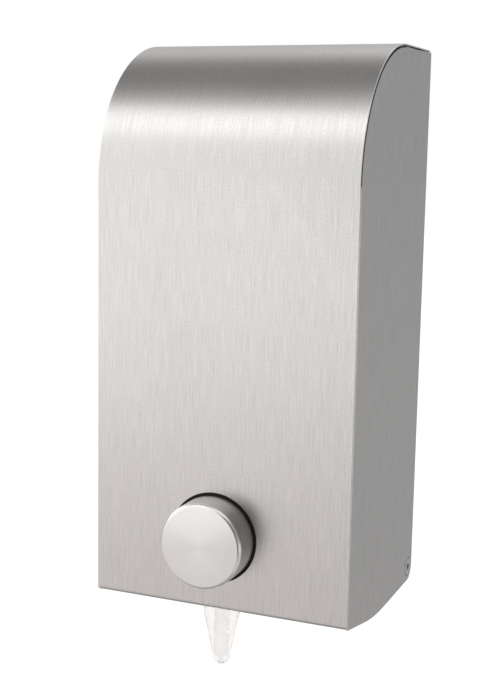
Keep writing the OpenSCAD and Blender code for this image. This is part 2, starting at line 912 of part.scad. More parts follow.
module plunger() {
    color(white) on_button() difference() {
        union() {
            translate([0, 0, cap_face]) cylinder(h = disc_t, r = cap_r - cap_edge_r);
            translate([0, 0, cap_face + cap_edge_r - cap_t])
                cylinder(h = disc_t - cap_edge_r + cap_t, r = cap_r - cap_t - loose_gap);
            translate([0, 0, disc_back]) cylinder(h = boss_len, r = boss_r);
            translate([0, 0, disc_back]) cylinder(h = piston_at - disc_back, r = rod_r);
            translate([0, 0, piston_at]) cylinder(h = piston_pin_len, r = piston_pin_r);
        }
        ring(rod_r + over, clip_groove_r, clip_at, clip_at + clip_t);
    }
}

module plunger_clip() {
    color(dark_steel) on_button() difference() {
        ring(clip_r, clip_groove_r, clip_at, clip_at + clip_t);
        block(-clip_groove_r, clip_groove_r, 0, clip_r + over, clip_at - over, clip_at + clip_t + over);
    }
}

module piston() {
    color(white) on_button() difference() {
        translate([0, 0, piston_at]) cylinder(h = piston_len, r = piston_r);
        translate([0, 0, piston_at - over]) cylinder(h = piston_pin_len + over, r = piston_pin_r);
        ring(piston_r + over, seal_groove_r, seal_at, seal_at + seal_len);
    }
}

module piston_seal() {
    color(rubber) on_button() ring(bore_r - run_gap, seal_groove_r, seal_at, seal_at + seal_len);
}

// Centre of the spring wire after a number of curls, and the tube round it
spring_from = disc_back + wire_r + rest_gap;
spring_to = spring_seat - wire_r - rest_gap;
spring_pitch = (spring_to - spring_from) / spring_curls;
rings_per_curl = 8;
wire_sides = 6;

function spring_centre(curls) =
    [spring_r * cos(360 * curls), spring_r * sin(360 * curls), spring_from + spring_pitch * curls];

function spring_ring(curls) =
    let (
        rise = atan2(spring_pitch, 2 * PI * spring_r),
        out = [cos(360 * curls), sin(360 * curls), 0],
        up = [sin(rise) * sin(360 * curls), -sin(rise) * cos(360 * curls), cos(rise)]
    )
    [for (k = [0:wire_sides - 1])
        spring_centre(curls) + wire_r * (cos(360 * k / wire_sides) * out + sin(360 * k / wire_sides) * up)];

module return_spring() {
    rings = spring_curls * rings_per_curl;
    points = [for (i = [0:rings]) each spring_ring(i / rings_per_curl)];
    sides = [for (i = [0:rings - 1], k = [0:wire_sides - 1])
        let (
            a = i * wire_sides + k,
            b = i * wire_sides + (k + 1) % wire_sides
        )
        each [[a, a + wire_sides, b], [b, a + wire_sides, b + wire_sides]]];
    first = [for (k = [1:wire_sides - 2]) [0, k, k + 1]];
    end = rings * wire_sides;
    last = [for (k = [1:wire_sides - 2]) [end, end + k + 1, end + k]];
    color(dark_steel) on_button() polyhedron(points, concat(sides, first, last));
    next_curl = [for (i = [0:rings - rings_per_curl])
        norm(spring_centre(i / rings_per_curl) - spring_centre(i / rings_per_curl + 1))];
    echo(spring_least_gap = min(next_curl) - 2 * wire_r);
}

module button_guide() {
    color(black) on_button() difference() {
        union() {
            translate([0, 0, -guide_rim_t]) cylinder(h = guide_rim_t, r = guide_r + guide_rim);
            cylinder(h = guide_d, r = guide_r);
        }
        translate([0, 0, -guide_rim_t - over])
            cylinder(h = guide_rim_t + over + guide_d - guide_back_t, r = guide_bore_r);
        cylinder(h = guide_d + over, r = rod_r + run_gap);
        ring(guide_r + over, guide_r - guide_wall / 2, sheet_t, sheet_t + circlip_t);
        pump_screw_spots() translate([0, 0, guide_d - guide_back_t - over])
            cylinder(h = guide_back_t + 2 * over, r = screw_r);
    }
}

module guide_circlip() {
    r_in = guide_r - guide_wall / 2;
    mouth = 4;
    color(dark_steel) on_button() difference() {
        ring(r_in + circlip_w, r_in, sheet_t, sheet_t + circlip_t);
        block(-mouth / 2, mouth / 2, -2 * guide_r, 0, sheet_t - over, sheet_t + circlip_t + over);
    }
}

module pump_screw_spots() {
    for (at_deg = [30, 150, 270])
        rotate(at_deg) translate([pump_screw_at, 0, 0]) children();
}

module pump_screws() {
    color(steel) on_button() pump_screw_spots() {
        translate([0, 0, guide_d - guide_back_t]) cylinder(h = guide_back_t + cyl_flange_t, r = screw_r);
        translate([0, 0, guide_d + cyl_flange_t]) difference() {
            cylinder(h = screw_head_t, r = screw_head_r);
            hex(screw_socket_af, screw_head_t / 2, screw_head_t + over);
        }
    }
}

// Bore along the button axis, inlet tower above its end and outlet stub below
module pump_cylinder() {
    slot_w = 1.6;
    slot_d = 1.5;
    slot_x = ball_chamber_r - 0.4;
    color(white) difference() {
        union() {
            on_button() translate([0, 0, guide_d]) cylinder(h = cyl_end - guide_d, r = cyl_r);
            on_button() translate([0, 0, guide_d]) cylinder(h = cyl_flange_t, r = cyl_flange_r);
            on_port() cylinder(h = tower_top, r = tower_r);
            on_port() translate([0, 0, -stub_end]) cylinder(h = stub_end, r = stub_r);
        }
        on_button() translate([0, 0, guide_d - over]) cylinder(h = bore_len + over, r = bore_r);
        on_button() pump_screw_spots()
            translate([0, 0, guide_d - over]) cylinder(h = cyl_flange_t + 2 * over, r = screw_r + run_gap);
        on_port() {
            translate([0, 0, -stub_end - over])
                cylinder(h = stub_end + chamber_floor + 2 * over, r = port_r);
            translate([0, 0, chamber_floor]) cylinder(h = tower_top, r = ball_chamber_r);
            translate([0, 0, seat_at]) cylinder(h = tower_top, r = seat_r);
            translate([0, 0, seat_at + seat_t]) cylinder(h = tower_top, r = grommet_r);
            // Slots that let the soap past the resting ball
            for (turn = [0, 90])
                rotate(turn) block(
                    -slot_x, slot_x, -slot_w / 2, slot_w / 2, chamber_floor - slot_d, chamber_floor + over
                );
        }
    }
}

module valve_seat() {
    color(white) on_port() ring(seat_r, seat_bore_r, seat_at, seat_at + seat_t);
}

module valve_ball() {
    color(steel) on_port() translate([0, 0, ball_rest]) sphere(ball_r);
}

module inlet_grommet() {
    bottom = seat_at + seat_t;
    color(rubber) on_port() {
        ring(grommet_r, spigot_r, bottom, tower_top);
        ring(tower_r, spigot_r, tower_top, tower_top + grommet_flange_t);
    }
}

module outlet_manifold() {
    channel_top = manifold_top + manifold_wall;
    channel_low = manifold_bottom - manifold_wall;
    top_z_at = button_z - manifold_top;
    low_z_at = button_z - manifold_bottom;
    socket_top_z = button_z - cyl_r - socket_gap;
    rear_y = port_y + socket_r;
    thread_top_z = low_z_at + clamp_thread;
    color(white) difference() {
        union() {
            block(button_x - manifold_x, button_x + manifold_x, pad_front_y, rear_y, low_z_at, top_z_at);
            block(button_x - pad_x, button_x + pad_x, pad_front_y, pad_back_y, low_z_at, top_z_at);
            rod_z(button_x, port_y, low_z_at, socket_top_z, socket_r);
        }
        rod_z(button_x, port_y, button_z - stub_end - stub_seal_t, socket_top_z + over, stub_r + run_gap);
        rod_z(button_x, port_y, button_z - channel_low, socket_top_z, port_r);
        block(
            button_x - channel_x, button_x + channel_x, nozzle_y, port_y,
            button_z - channel_low, button_z - channel_top
        );
        rod_z(button_x, nozzle_y, low_z_at - over, button_z - channel_top, nozzle_bore_r);
        clamp_screw_spots() rod_z(0, 0, low_z_at - over, thread_top_z + clamp_hole_gap, screw_r + run_gap);
    }
}

module manifold_seal() {
    color(rubber) on_port() ring(stub_r, port_r, -stub_end - stub_seal_t, -stub_end);
}

module clamp_screw_spots() {
    for (x = [-clamp_screw_x, clamp_screw_x])
        translate([button_x + x, clamp_screw_y, 0]) children();
}

// Half outline of the nozzle, from the flange to the rounded tip
function nozzle_outline() = concat(
    [[0, neck_z], [nozzle_r, neck_z], [nozzle_r, taper_z], [waist_r, waist_z]],
    [for (a = [0:10:90]) [nozzle_tip_r * cos(a), tip_z + tip_h * (1 - sin(a))]]
);

module nozzle() {
    flange_corner_r = 3;
    flange_x0 = button_x - nozzle_flange_x;
    flange_x1 = button_x + nozzle_flange_x;
    flange_y0 = inner_y + rest_gap;
    flange_y1 = nozzle_y + nozzle_r + nozzle_flange_back;
    color(milky) difference() {
        union() {
            translate([button_x, nozzle_y, 0]) rotate_extrude() polygon(nozzle_outline());
            along_z(neck_z, flange_z)
                polygon(rounded_box(flange_x0, flange_x1, flange_y0, flange_y1, flange_corner_r));
        }
        rod_z(button_x, nozzle_y, tip_z + tip_h, flange_z + over, nozzle_bore_r);
        rod_z(button_x, nozzle_y, tip_z - over, tip_z + tip_h + over, nozzle_hole_r);
    }
}

// A fork that holds the nozzle flange up against the manifold
module nozzle_clamp() {
    fork_r = nozzle_r + loose_gap;
    front = inner_y + clamp_front;
    low_z = neck_z - clamp_t;
    color(dark_steel) difference() {
        block(button_x - pad_x, button_x + pad_x, front, pad_back_y, low_z, neck_z);
        rod_z(button_x, nozzle_y, low_z - over, neck_z + over, fork_r);
        block(button_x - fork_r, button_x + fork_r, front - over, nozzle_y, low_z - over, neck_z + over);
        clamp_screw_spots() rod_z(0, 0, low_z - over, neck_z + over, screw_r + run_gap);
    }
}

module clamp_screws() {
    low_z = neck_z - clamp_t;
    color(steel) clamp_screw_spots() difference() {
        union() {
            rod_z(0, 0, low_z - screw_head_t, low_z, screw_head_r);
            rod_z(0, 0, low_z, flange_z + clamp_thread, screw_r);
        }
        translate([0, 0, low_z]) hex(screw_socket_af, -screw_head_t - over, -screw_head_t / 2);
    }
}

module lock_housing() {
    color(steel) on_lock() difference() {
        union() {
            cylinder(h = lock_rim_t, r = lock_r + lock_rim);
            translate([0, 0, -lock_len]) cylinder(h = lock_len, r = lock_r);
        }
        translate([0, 0, -lock_len - over])
            cylinder(h = lock_len + lock_rim_t + 2 * over, r = plug_r + run_gap);
    }
}

module lock_nut() {
    color(dark_steel) on_lock() difference() {
        hex(lock_nut_af, -sheet_t - lock_nut_t, -sheet_t);
        translate([0, 0, -sheet_t - lock_nut_t - over])
            cylinder(h = lock_nut_t + 2 * over, r = lock_r + run_gap);
    }
}

module lock_plug() {
    key_w = 1.2;
    key_len = 7;
    key_d = 8;
    face = lock_rim_t - plug_recess;
    half = cam_square / 2;
    color(dark_steel) on_lock() difference() {
        union() {
            translate([0, 0, -plug_len]) cylinder(h = plug_len + face, r = plug_r);
            block(-half, half, -half, half, -plug_len - cam_t, -plug_len);
        }
        block(-key_w / 2, key_w / 2, -key_len / 2, key_len / 2, face - key_d, face + over);
        translate([0, 0, -plug_len - cam_t - over]) cylinder(h = plug_hole_d + over, r = screw_r + run_gap);
    }
}

// Shown turned clear of the strike, towards the wall
module lock_cam() {
    hole = cam_square / 2 + run_gap;
    color(dark_steel) on_lock() difference() {
        union() {
            translate([0, 0, -plug_len - cam_t]) cylinder(h = cam_t, r = cam_w / 2 + cam_more);
            block(-cam_w / 2, cam_w / 2, 0, cam_len, -plug_len - cam_t, -plug_len);
        }
        block(-hole, hole, -hole, hole, -plug_len - cam_t - over, -plug_len + over);
    }
}

module cam_screw() {
    head_r = 4.4;
    head_t = 2.4;
    socket_af = 3;
    end_gap = 1;
    color(steel) on_lock() translate([0, 0, -plug_len - cam_t]) difference() {
        union() {
            translate([0, 0, -head_t]) cylinder(h = head_t, r = head_r);
            cylinder(h = plug_hole_d - end_gap, r = screw_r);
        }
        hex(socket_af, -head_t - over, -head_t / 2);
    }
}

wall_plate();
pivot_nuts();
pivot_screws();
friction_washers();
lock_strike();
strike_rivets();
front_wrap();
left_side_panel();
right_side_panel();
stop_pins();
tank_tray();
tank();
tank_screws();
filler_cap();
filler_seal();
outlet_fitting();
fitting_seal();
fitting_nut();
button_cap();
plunger();
piston();
piston_seal();
plunger_clip();
return_spring();
button_guide();
guide_circlip();
pump_cylinder();
pump_screws();
valve_seat();
valve_ball();
inlet_grommet();
outlet_manifold();
manifold_seal();
nozzle();
nozzle_clamp();
clamp_screws();
lock_housing();
lock_nut();
lock_plug();
lock_cam();
cam_screw();
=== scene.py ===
"""Looks of a wall-mounted soap dispenser with a push button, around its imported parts."""
import json
import math

import bmesh
import bpy
from mathutils import Matrix, Vector


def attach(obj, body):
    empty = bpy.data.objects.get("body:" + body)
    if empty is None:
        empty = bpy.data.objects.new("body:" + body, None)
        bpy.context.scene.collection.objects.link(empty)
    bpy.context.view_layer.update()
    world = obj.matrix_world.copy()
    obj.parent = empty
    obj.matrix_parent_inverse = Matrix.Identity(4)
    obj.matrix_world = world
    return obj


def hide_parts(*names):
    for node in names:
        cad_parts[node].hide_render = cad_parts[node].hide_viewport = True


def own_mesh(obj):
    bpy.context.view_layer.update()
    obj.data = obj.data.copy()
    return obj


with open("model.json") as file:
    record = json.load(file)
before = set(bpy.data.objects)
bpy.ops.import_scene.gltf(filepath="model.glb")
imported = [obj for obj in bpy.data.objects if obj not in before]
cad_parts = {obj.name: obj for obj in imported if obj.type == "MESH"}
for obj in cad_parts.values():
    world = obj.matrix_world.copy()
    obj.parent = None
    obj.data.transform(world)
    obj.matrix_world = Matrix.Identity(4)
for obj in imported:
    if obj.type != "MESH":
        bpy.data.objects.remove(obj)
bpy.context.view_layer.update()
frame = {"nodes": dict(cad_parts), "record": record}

scene = bpy.context.scene
scene.view_settings.view_transform = "Standard"

MM = 0.001

# Main sizes in millimetres, the same as the parts'
SHEET = 0.6
LOOSE_GAP = 0.1
RUN_GAP = 0.05
FRONT_Y = -104.0
INNER_Y = FRONT_Y + SHEET
BACK_Y = -0.5
BASE_Z = -136.0
TOP_Z = 120.5
FRONT_Z = -127.9
SIDE_X = 60.0
PANEL_X = SIDE_X - SHEET
TOP_R = 62.0
ARC_Y = FRONT_Y + TOP_R
ARC_Z = TOP_Z - TOP_R
SEAM_GAP = 0.6
SEAM = SHEET + SEAM_GAP
HEM_R = 2.0
HEM_D = 7.0
HEM_X = PANEL_X - LOOSE_GAP
REAR_BEND_R = 3.5
REAR_BEND_Y = BACK_Y - REAR_BEND_R
REAR_LIP = 10.0
FLANGE_W = 12.0
FLANGE_R = 2.6
FLANGE_Z = FRONT_Z + HEM_R + LOOSE_GAP
RIM_W = 3.5
RIM_R = TOP_R - SEAM - LOOSE_GAP
REAR_CORNER_R = 1.0
FLOOR_SLOPE = 0.2
FLOOR_R = 150.0
KNEE_Y = -63.5
CORNER_R = 7.0
PIVOT_Y = BACK_Y - CORNER_R
PIVOT_Z = BASE_Z + CORNER_R
PIVOT_HEAD_R = 4.6
WASHER_SPACE = 1.0
EAR_X = PANEL_X - WASHER_SPACE
BUTTON_X = -2.4
BUTTON_UP = 32.6
BUTTON_Z = FRONT_Z + BUTTON_UP
CAP_R = 19.0
CAP_T = 0.9
CAP_OUT = 15.5
CAP_IN = 2.0
CAP_EDGE_R = 1.8
CAP_CROWN = 0.8
GUIDE_BORE_R = CAP_R + RUN_GAP
GUIDE_WALL = 0.9
GUIDE_R = GUIDE_BORE_R + GUIDE_WALL
GUIDE_RIM = 0.4
GUIDE_RIM_R = GUIDE_R + GUIDE_RIM
GUIDE_RIM_T = 0.5
GUIDE_D = 16.0
GUIDE_BACK_T = 2.0
SPRING_SEAT = GUIDE_D - GUIDE_BACK_T
NOZZLE_R = 8.1
NOZZLE_GAP = 2.2
NOZZLE_Y = INNER_Y + NOZZLE_GAP + NOZZLE_R
LOCK_Y = -26.0
LOCK_R = 8.0
TANK_GAP = 3.3
TANK_X = PANEL_X - TANK_GAP
TANK_FRONT_GAP = 4.0
TANK_Y0 = INNER_Y + TANK_FRONT_GAP
TANK_Y1 = -8.5
TANK_H = 131.0
TANK_Z0 = -60.685
TANK_Z1 = TANK_Z0 + TANK_H
TANK_WALL = 1.8
TANK_EDGE_R = 8.0
TANK_PAD_Y = (TANK_Y0 + TANK_Y1) / 2
SHOULDER = 42.0
TANK_FLAT = 8.3
TANK_TOP_R = TANK_Y1 - TANK_Y0 - SHOULDER - TANK_FLAT
FILLER_Y = TANK_Y1 - SHOULDER / 2
FILLER_Z = TANK_Z1 - SHOULDER / 2
NECK_R = 15.0
NECK_H = 9.0

# How far a cutter runs past what it cuts
PAST = 1.0

# Frames of the button, the filler neck and the lock: z runs into the housing or outwards
ON_BUTTON = Matrix.Translation((BUTTON_X, FRONT_Y, BUTTON_Z)) @ Matrix.Rotation(-math.pi / 2, 4, "X")
ON_FILLER = Matrix.Translation((0, FILLER_Y, FILLER_Z)) @ Matrix.Rotation(-math.pi / 4, 4, "X")
ON_LOCK = Matrix.Translation((0, LOCK_Y, TOP_Z))

body_of_node = {
    node: body
    for body, nodes in frame["record"]["behaviour"]["bodies"].items()
    for node in nodes
}


# Camera at the photograph's angle


def add_camera():
    place = Vector((214.71, -595.75, 76.16)) * MM
    target = Vector((10.93, -104.0, -5.98)) * MM
    roll = math.radians(1.065)
    ahead = (target - place).normalized()
    right = ahead.cross(Vector((0, 0, 1))).normalized()
    up = right.cross(ahead)
    image_right = right * math.cos(roll) + up * math.sin(roll)
    image_up = up * math.cos(roll) - right * math.sin(roll)
    data = bpy.data.cameras.new("photo_camera")
    data.lens = 67.40
    data.sensor_width = 36.0
    data.clip_start = 0.01
    camera = bpy.data.objects.new("photo_camera", data)
    axes = Matrix((image_right, image_up, -ahead)).transposed().to_4x4()
    camera.matrix_world = Matrix.Translation(place) @ axes
    scene.collection.objects.link(camera)
    scene.camera = camera


add_camera()


# Shared surface effects as node groups


def new_group(name, inputs, outputs):
    """A node group that gives numbers. An input with no value takes a vector."""
    tree = bpy.data.node_groups.new(name, "ShaderNodeTree")
    for label, value in inputs.items():
        kind = "NodeSocketVector" if value is None else "NodeSocketFloat"
        socket = tree.interface.new_socket(label, in_out="INPUT", socket_type=kind)
        if value is not None:
            socket.default_value = value
    for label in outputs:
        tree.interface.new_socket(label, in_out="OUTPUT", socket_type="NodeSocketFloat")
    start = tree.nodes.new("NodeGroupInput")
    end = tree.nodes.new("NodeGroupOutput")
    return tree, start, end


def fill_inputs(tree, node, values):
    """Sets or links inputs of a node, each by its name, or by its number as in i0."""
    for key, value in values.items():
        numbered = key[0] == "i" and key[1:].isdigit()
        socket = node.inputs[int(key[1:]) if numbered else key]
        if isinstance(value, bpy.types.NodeSocket):
            tree.links.new(value, socket)
        else:
            socket.default_value = value


def add_node(tree, kind, settings=None, **values):
    node = tree.nodes.new(kind)
    for key, value in (settings or {}).items():
        setattr(node, key, value)
    fill_inputs(tree, node, values)
    return node


def use_group(tree, group, **values):
    return add_node(tree, "ShaderNodeGroup", {"node_tree": group}, **values)


def math_node(tree, operation, first, second=0.0, third=0.0):
    node = add_node(tree, "ShaderNodeMath", {"operation": operation}, i0=first, i1=second, i2=third)
    return node.outputs[0]


def times(tree, first, second):
    return math_node(tree, "MULTIPLY", first, second)


def weigh(tree, first, second, share):
    """Two values added up, the first for its share and the second for the rest."""
    return math_node(tree, "ADD", times(tree, first, share), times(tree, second, 1 - share))


def spread(tree, value, low, high, to_low=0.0, to_high=1.0):
    node = add_node(tree, "ShaderNodeMapRange", i0=value, i1=low, i2=high, i3=to_low, i4=to_high)
    return node.outputs[0]


def noise(tree, place, detail, roughness, distortion=0.0):
    node = add_node(
        tree, "ShaderNodeTexNoise",
        Vector=place, Scale=1.0, Detail=detail, Roughness=roughness, Distortion=distortion,
    )
    return node.outputs["Fac"]


def cosine(tree, first, second):
    """Cosine between two directions."""
    node = add_node(tree, "ShaderNodeVectorMath", {"operation": "DOT_PRODUCT"}, i0=first, i1=second)
    return node.outputs["Value"]


def sized_place(tree, start):
    """A group's Vector, divided by its Size."""
    node = add_node(
        tree, "ShaderNodeVectorMath", {"operation": "SCALE"},
        i0=start.outputs["Vector"], Scale=math_node(tree, "DIVIDE", 1.0, start.outputs["Size"]),
    )
    return node.outputs[0]


def make_brush_lines():
    """Fine drawn lines along the second coordinate, with an even grain. Sizes are in its units."""
    inputs = {"Vector": None, "Width": 0.3, "Length": 8.0, "Grain": 0.4}
    tree, start, end = new_group("brush_lines", inputs, ("Tone", "Height"))
    parts = add_node(tree, "ShaderNodeSeparateXYZ", i0=start.outputs["Vector"])

    def streaks(across, along, detail):
        flat = add_node(
            tree, "ShaderNodeCombineXYZ",
            i0=math_node(tree, "DIVIDE", parts.outputs[0], across),
            i1=math_node(tree, "DIVIDE", parts.outputs[1], along),
            i2=math_node(tree, "DIVIDE", parts.outputs[2], across),
        )
        return noise(tree, flat.outputs[0], detail, 0.6)

    width, length = start.outputs["Width"], start.outputs["Length"]
    fine = streaks(width, length, 2.0)
    broad = streaks(times(tree, width, 2.6), times(tree, length, 2.5), 2.0)
    even = times(tree, width, 1.8)
    mixed = add_node(
        tree, "ShaderNodeMix", {"data_type": "FLOAT"},
        i0=start.outputs["Grain"], i2=weigh(tree, fine, broad, 0.7), i3=streaks(even, even, 1.0),
    )
    tree.links.new(spread(tree, mixed.outputs[0], 0.36, 0.64), end.inputs["Tone"])
    tree.links.new(fine, end.inputs["Height"])
    return tree


def make_soft_cloud():
    """Slow, soft variation over a surface, such as a film left by handling."""
    tree, start, end = new_group("soft_cloud", {"Vector": None, "Size": 0.03}, ("Mask",))
    cloud = noise(tree, sized_place(tree, start), 4.0, 0.55, distortion=0.4)
    tree.links.new(spread(tree, cloud, 0.3, 0.7), end.inputs["Mask"])
    return tree


def make_fine_skin():
    """Fine grain of a moulded or cast surface, as a tone and a height."""
    tree, start, end = new_group("fine_skin", {"Vector": None, "Size": 0.0006}, ("Tone", "Height"))
    place = sized_place(tree, start)
    grain = noise(tree, place, 3.0, 0.5)
    cells = add_node(
        tree, "ShaderNodeTexVoronoi", {"feature": "SMOOTH_F1"}, Vector=place, Scale=0.6, Smoothness=0.6
    )
    dimples = times(tree, cells.outputs["Distance"], 0.5)
    tree.links.new(grain, end.inputs["Tone"])
    tree.links.new(math_node(tree, "ADD", grain, dimples), end.inputs["Height"])
    return tree


def make_edge_wear_and_highlight():
    """Mask of outer edges, where the colour is lightened: partly rubbed wear, partly a painted
    highlight.
    """
    tree, start, end = new_group("edge_wear_and_highlight", {"Reach": 0.0006}, ("Mask",))
    soft = add_node(tree, "ShaderNodeBevel", {"samples": 4}, Radius=start.outputs["Reach"])
    shape = add_node(tree, "ShaderNodeNewGeometry")
    across = cosine(tree, soft.outputs[0], shape.outputs["Normal"])
    tree.links.new(spread(tree, across, 0.99, 0.85), end.inputs["Mask"])
    return tree


brush_lines = make_brush_lines()
soft_cloud = make_soft_cloud()
fine_skin = make_fine_skin()
edge_wear_and_highlight = make_edge_wear_and_highlight()


# Finishes


def start_material(name):
    material = bpy.data.materials.new(name)
    material.use_nodes = True
    tree = material.node_tree
    return material, tree, tree.nodes["Principled BSDF"]


def mix_colours(tree, mask, under, over):
    """A colour that goes over another by a mask. The one under it may come from another node."""
    if not isinstance(under, bpy.types.NodeSocket):
        under = (*under, 1)
    node = add_node(tree, "ShaderNodeMix", {"data_type": "RGBA"}, i0=mask, i6=under, i7=(*over, 1))
    return node.outputs[2]


def bump(tree, height, strength, distance):
    node = add_node(tree, "ShaderNodeBump", Strength=strength, Distance=distance, Height=height)
    return node.outputs["Normal"]


def drawn_steel(name, dark, light, rough, vary, anisotropy, width, length, grain, rub_and_highlight, reach):
    """Sheet steel with drawn lines that follow the piece's brush map, and edges lightened in colour:
    partly rubbed wear, partly a painted highlight.
    """
    material, tree, shader = start_material(name)
    brush_map = add_node(tree, "ShaderNodeUVMap", {"uv_map": "brush"})
    lines = use_group(
        tree, brush_lines, Vector=brush_map.outputs[0], Width=width, Length=length, Grain=grain
    )
    place = add_node(tree, "ShaderNodeTexCoord")
    film = use_group(tree, soft_cloud, Vector=place.outputs["Object"], Size=0.045)
    rub_and_highlight_mask = use_group(tree, edge_wear_and_highlight, Reach=reach)
    tone = mix_colours(tree, lines.outputs["Tone"], dark, light)
    # Edges lightened towards near white: partly rubbed wear, partly a painted highlight
    edges = times(tree, rub_and_highlight_mask.outputs["Mask"], rub_and_highlight)
    wear = weigh(tree, lines.outputs["Tone"], film.outputs["Mask"], 0.7)
    along = add_node(tree, "ShaderNodeTangent", {"direction_type": "UV_MAP", "uv_map": "brush"})
    fill_inputs(tree, shader, {
        "Base Color": mix_colours(tree, edges, tone, (0.96, 0.95, 0.94)),
        "Roughness": spread(tree, wear, 0.0, 1.0, rough + vary, rough - vary),
        "Metallic": 1.0,
        "Anisotropic": anisotropy,
        "Tangent": along.outputs[0],
        "Normal": bump(tree, lines.outputs["Height"], 0.25, 0.00003),
    })
    return material


def turned_steel(name, dark, light, rough, vary, anisotropy, centre, axis, wall=None):
    """Satin steel finished on a lathe, with fine rings round an axis.

    wall is (start, end, colour, roughness) of a side wall that is rougher than the face, and darker in
    colour as painted shade.
    """
    material, tree, shader = start_material(name)
    place = add_node(tree, "ShaderNodeTexCoord")
    local = add_node(
        tree, "ShaderNodeVectorMath", {"operation": "SUBTRACT"}, i0=place.outputs["Object"], i1=centre
    )
    parts = add_node(tree, "ShaderNodeSeparateXYZ", i0=local.outputs[0])
    first, second = [parts.outputs[i] for i in range(3) if i != axis]
    squares = [math_node(tree, "POWER", side, 2.0) for side in (first, second)]
    radius = math_node(tree, "SQRT", math_node(tree, "ADD", *squares))
    turn = math_node(tree, "ARCTAN2", first, second)
    ring = add_node(
        tree, "ShaderNodeCombineXYZ",
        i0=times(tree, radius, 1 / MM),
        i1=times(tree, turn, 6.0),
        i2=times(tree, parts.outputs[axis], 1 / MM),
    )
    lines = use_group(tree, brush_lines, Vector=ring.outputs[0], Width=0.16, Length=4.0, Grain=0.6)
    film = use_group(tree, soft_cloud, Vector=place.outputs["Object"], Size=0.012)
    tone = mix_colours(tree, lines.outputs["Tone"], dark, light)
    wear = weigh(tree, lines.outputs["Tone"], film.outputs["Mask"], 0.5)
    gloss = spread(tree, wear, 0.0, 1.0, rough + vary, rough - vary)
    if wall is not None:
        low, high, colour, wall_rough = wall
        side = spread(tree, parts.outputs[axis], low, high)
        # The wall's darker colour is painted shade
        tone = mix_colours(tree, side, tone, colour)
        gloss = math_node(tree, "ADD", gloss, times(tree, side, wall_rough - rough))
    around = add_node(tree, "ShaderNodeTangent", {"direction_type": "RADIAL", "axis": "XYZ"[axis]})
    fill_inputs(tree, shader, {
        "Base Color": tone,
        "Roughness": gloss,
        "Metallic": 1.0,
        "Anisotropic": anisotropy,
        "Anisotropic Rotation": 0.25,
        "Tangent": around.outputs[0],
        "Normal": bump(tree, lines.outputs["Height"], 0.15, 0.00002),
    })
    return material


def lay_skin(tree, shader, colours, rough, vary, cloud, grain, share, rub_and_highlight, reach, relief):
    """Uneven colour and gloss with a fine skin. colours are dark, light and that of rubbed edges.

    cloud and grain are the sizes of the unevenness and the skin, and the first counts for its share.
    relief is the strength and the depth of the skin.
    """
    dark, light, worn = colours
    place = add_node(tree, "ShaderNodeTexCoord")
    film = use_group(tree, soft_cloud, Vector=place.outputs["Object"], Size=cloud)
    skin = use_group(tree, fine_skin, Vector=place.outputs["Object"], Size=grain)
    rub_and_highlight_mask = use_group(tree, edge_wear_and_highlight, Reach=reach)
    mixed = weigh(tree, film.outputs["Mask"], skin.outputs["Tone"], share)
    tone = mix_colours(tree, mixed, dark, light)
    edges = times(tree, rub_and_highlight_mask.outputs["Mask"], rub_and_highlight)
    fill_inputs(tree, shader, {
        "Base Color": mix_colours(tree, edges, tone, worn),
        "Roughness": spread(tree, mixed, 0.2, 0.8, rough + vary, rough - vary),
        "Normal": bump(tree, skin.outputs["Height"], *relief),
    })


def mill_metal(name, *colours, rough, vary, grain, cloud):
    """Plain metal as it leaves the mill or the press, a little uneven and rubbed on edges."""
    material, tree, shader = start_material(name)
    lay_skin(
        tree, shader, colours, rough, vary, cloud, grain,
        share=0.6, rub_and_highlight=0.6, reach=0.0005, relief=(0.2, 0.00004),
    )
    shader.inputs["Metallic"].default_value = 1.0
    return material


def moulded(name, *colours, rough, vary, grain, depth, transmission=0.0, subsurface=0.0,
            ior=1.5, specular=0.5):
    """Moulded plastic or rubber with a fine skin, a faint unevenness and rubbed edges."""
    material, tree, shader = start_material(name)
    lay_skin(
        tree, shader, colours, rough, vary, 0.02, grain,
        share=0.65, rub_and_highlight=0.4, reach=0.0004, relief=(0.3, depth),
    )
    fill_inputs(tree, shader, {
        "IOR": ior,
        "Specular IOR Level": specular,
        "Transmission Weight": transmission,
        "Subsurface Weight": subsurface,
        "Subsurface Radius": (1.0, 0.95, 0.9),
        "Subsurface Scale": 0.003,
    })
    return material


# The wrap's strong edge lightening is partly rubbed wear and partly a painted highlight on its edges
wrap_steel = drawn_steel(
    "wrap_steel", (0.64, 0.623, 0.608), (0.90, 0.88, 0.861), rough=0.33, vary=0.05,
    anisotropy=0.55, width=0.26, length=13.0, grain=0.5, rub_and_highlight=0.9, reach=0.0011,
)
side_steel = drawn_steel(
    "side_steel", (0.40, 0.395, 0.39), (0.86, 0.853, 0.845), rough=0.36, vary=0.05,
    anisotropy=0.5, width=0.26, length=12.0, grain=0.6, rub_and_highlight=0.2, reach=0.0005,
)
cap_steel = turned_steel(
    "cap_steel", (0.925, 0.91, 0.895), (0.965, 0.95, 0.935), rough=0.32, vary=0.03,
    anisotropy=0.55, centre=(BUTTON_X * MM, FRONT_Y * MM, BUTTON_Z * MM), axis=1,
    # The darker colour of the cap's side wall is painted shade
    wall=(
        (CAP_EDGE_R - CAP_OUT) * MM, (CAP_EDGE_R + CAP_CROWN - CAP_OUT) * MM,
        (0.62, 0.607, 0.594), 0.4,
    ),
)
pivot_steel = turned_steel(
    "pivot_steel", (0.60, 0.595, 0.59), (0.72, 0.715, 0.71), rough=0.25, vary=0.06,
    anisotropy=0.3, centre=(0, PIVOT_Y * MM, PIVOT_Z * MM), axis=0,
)
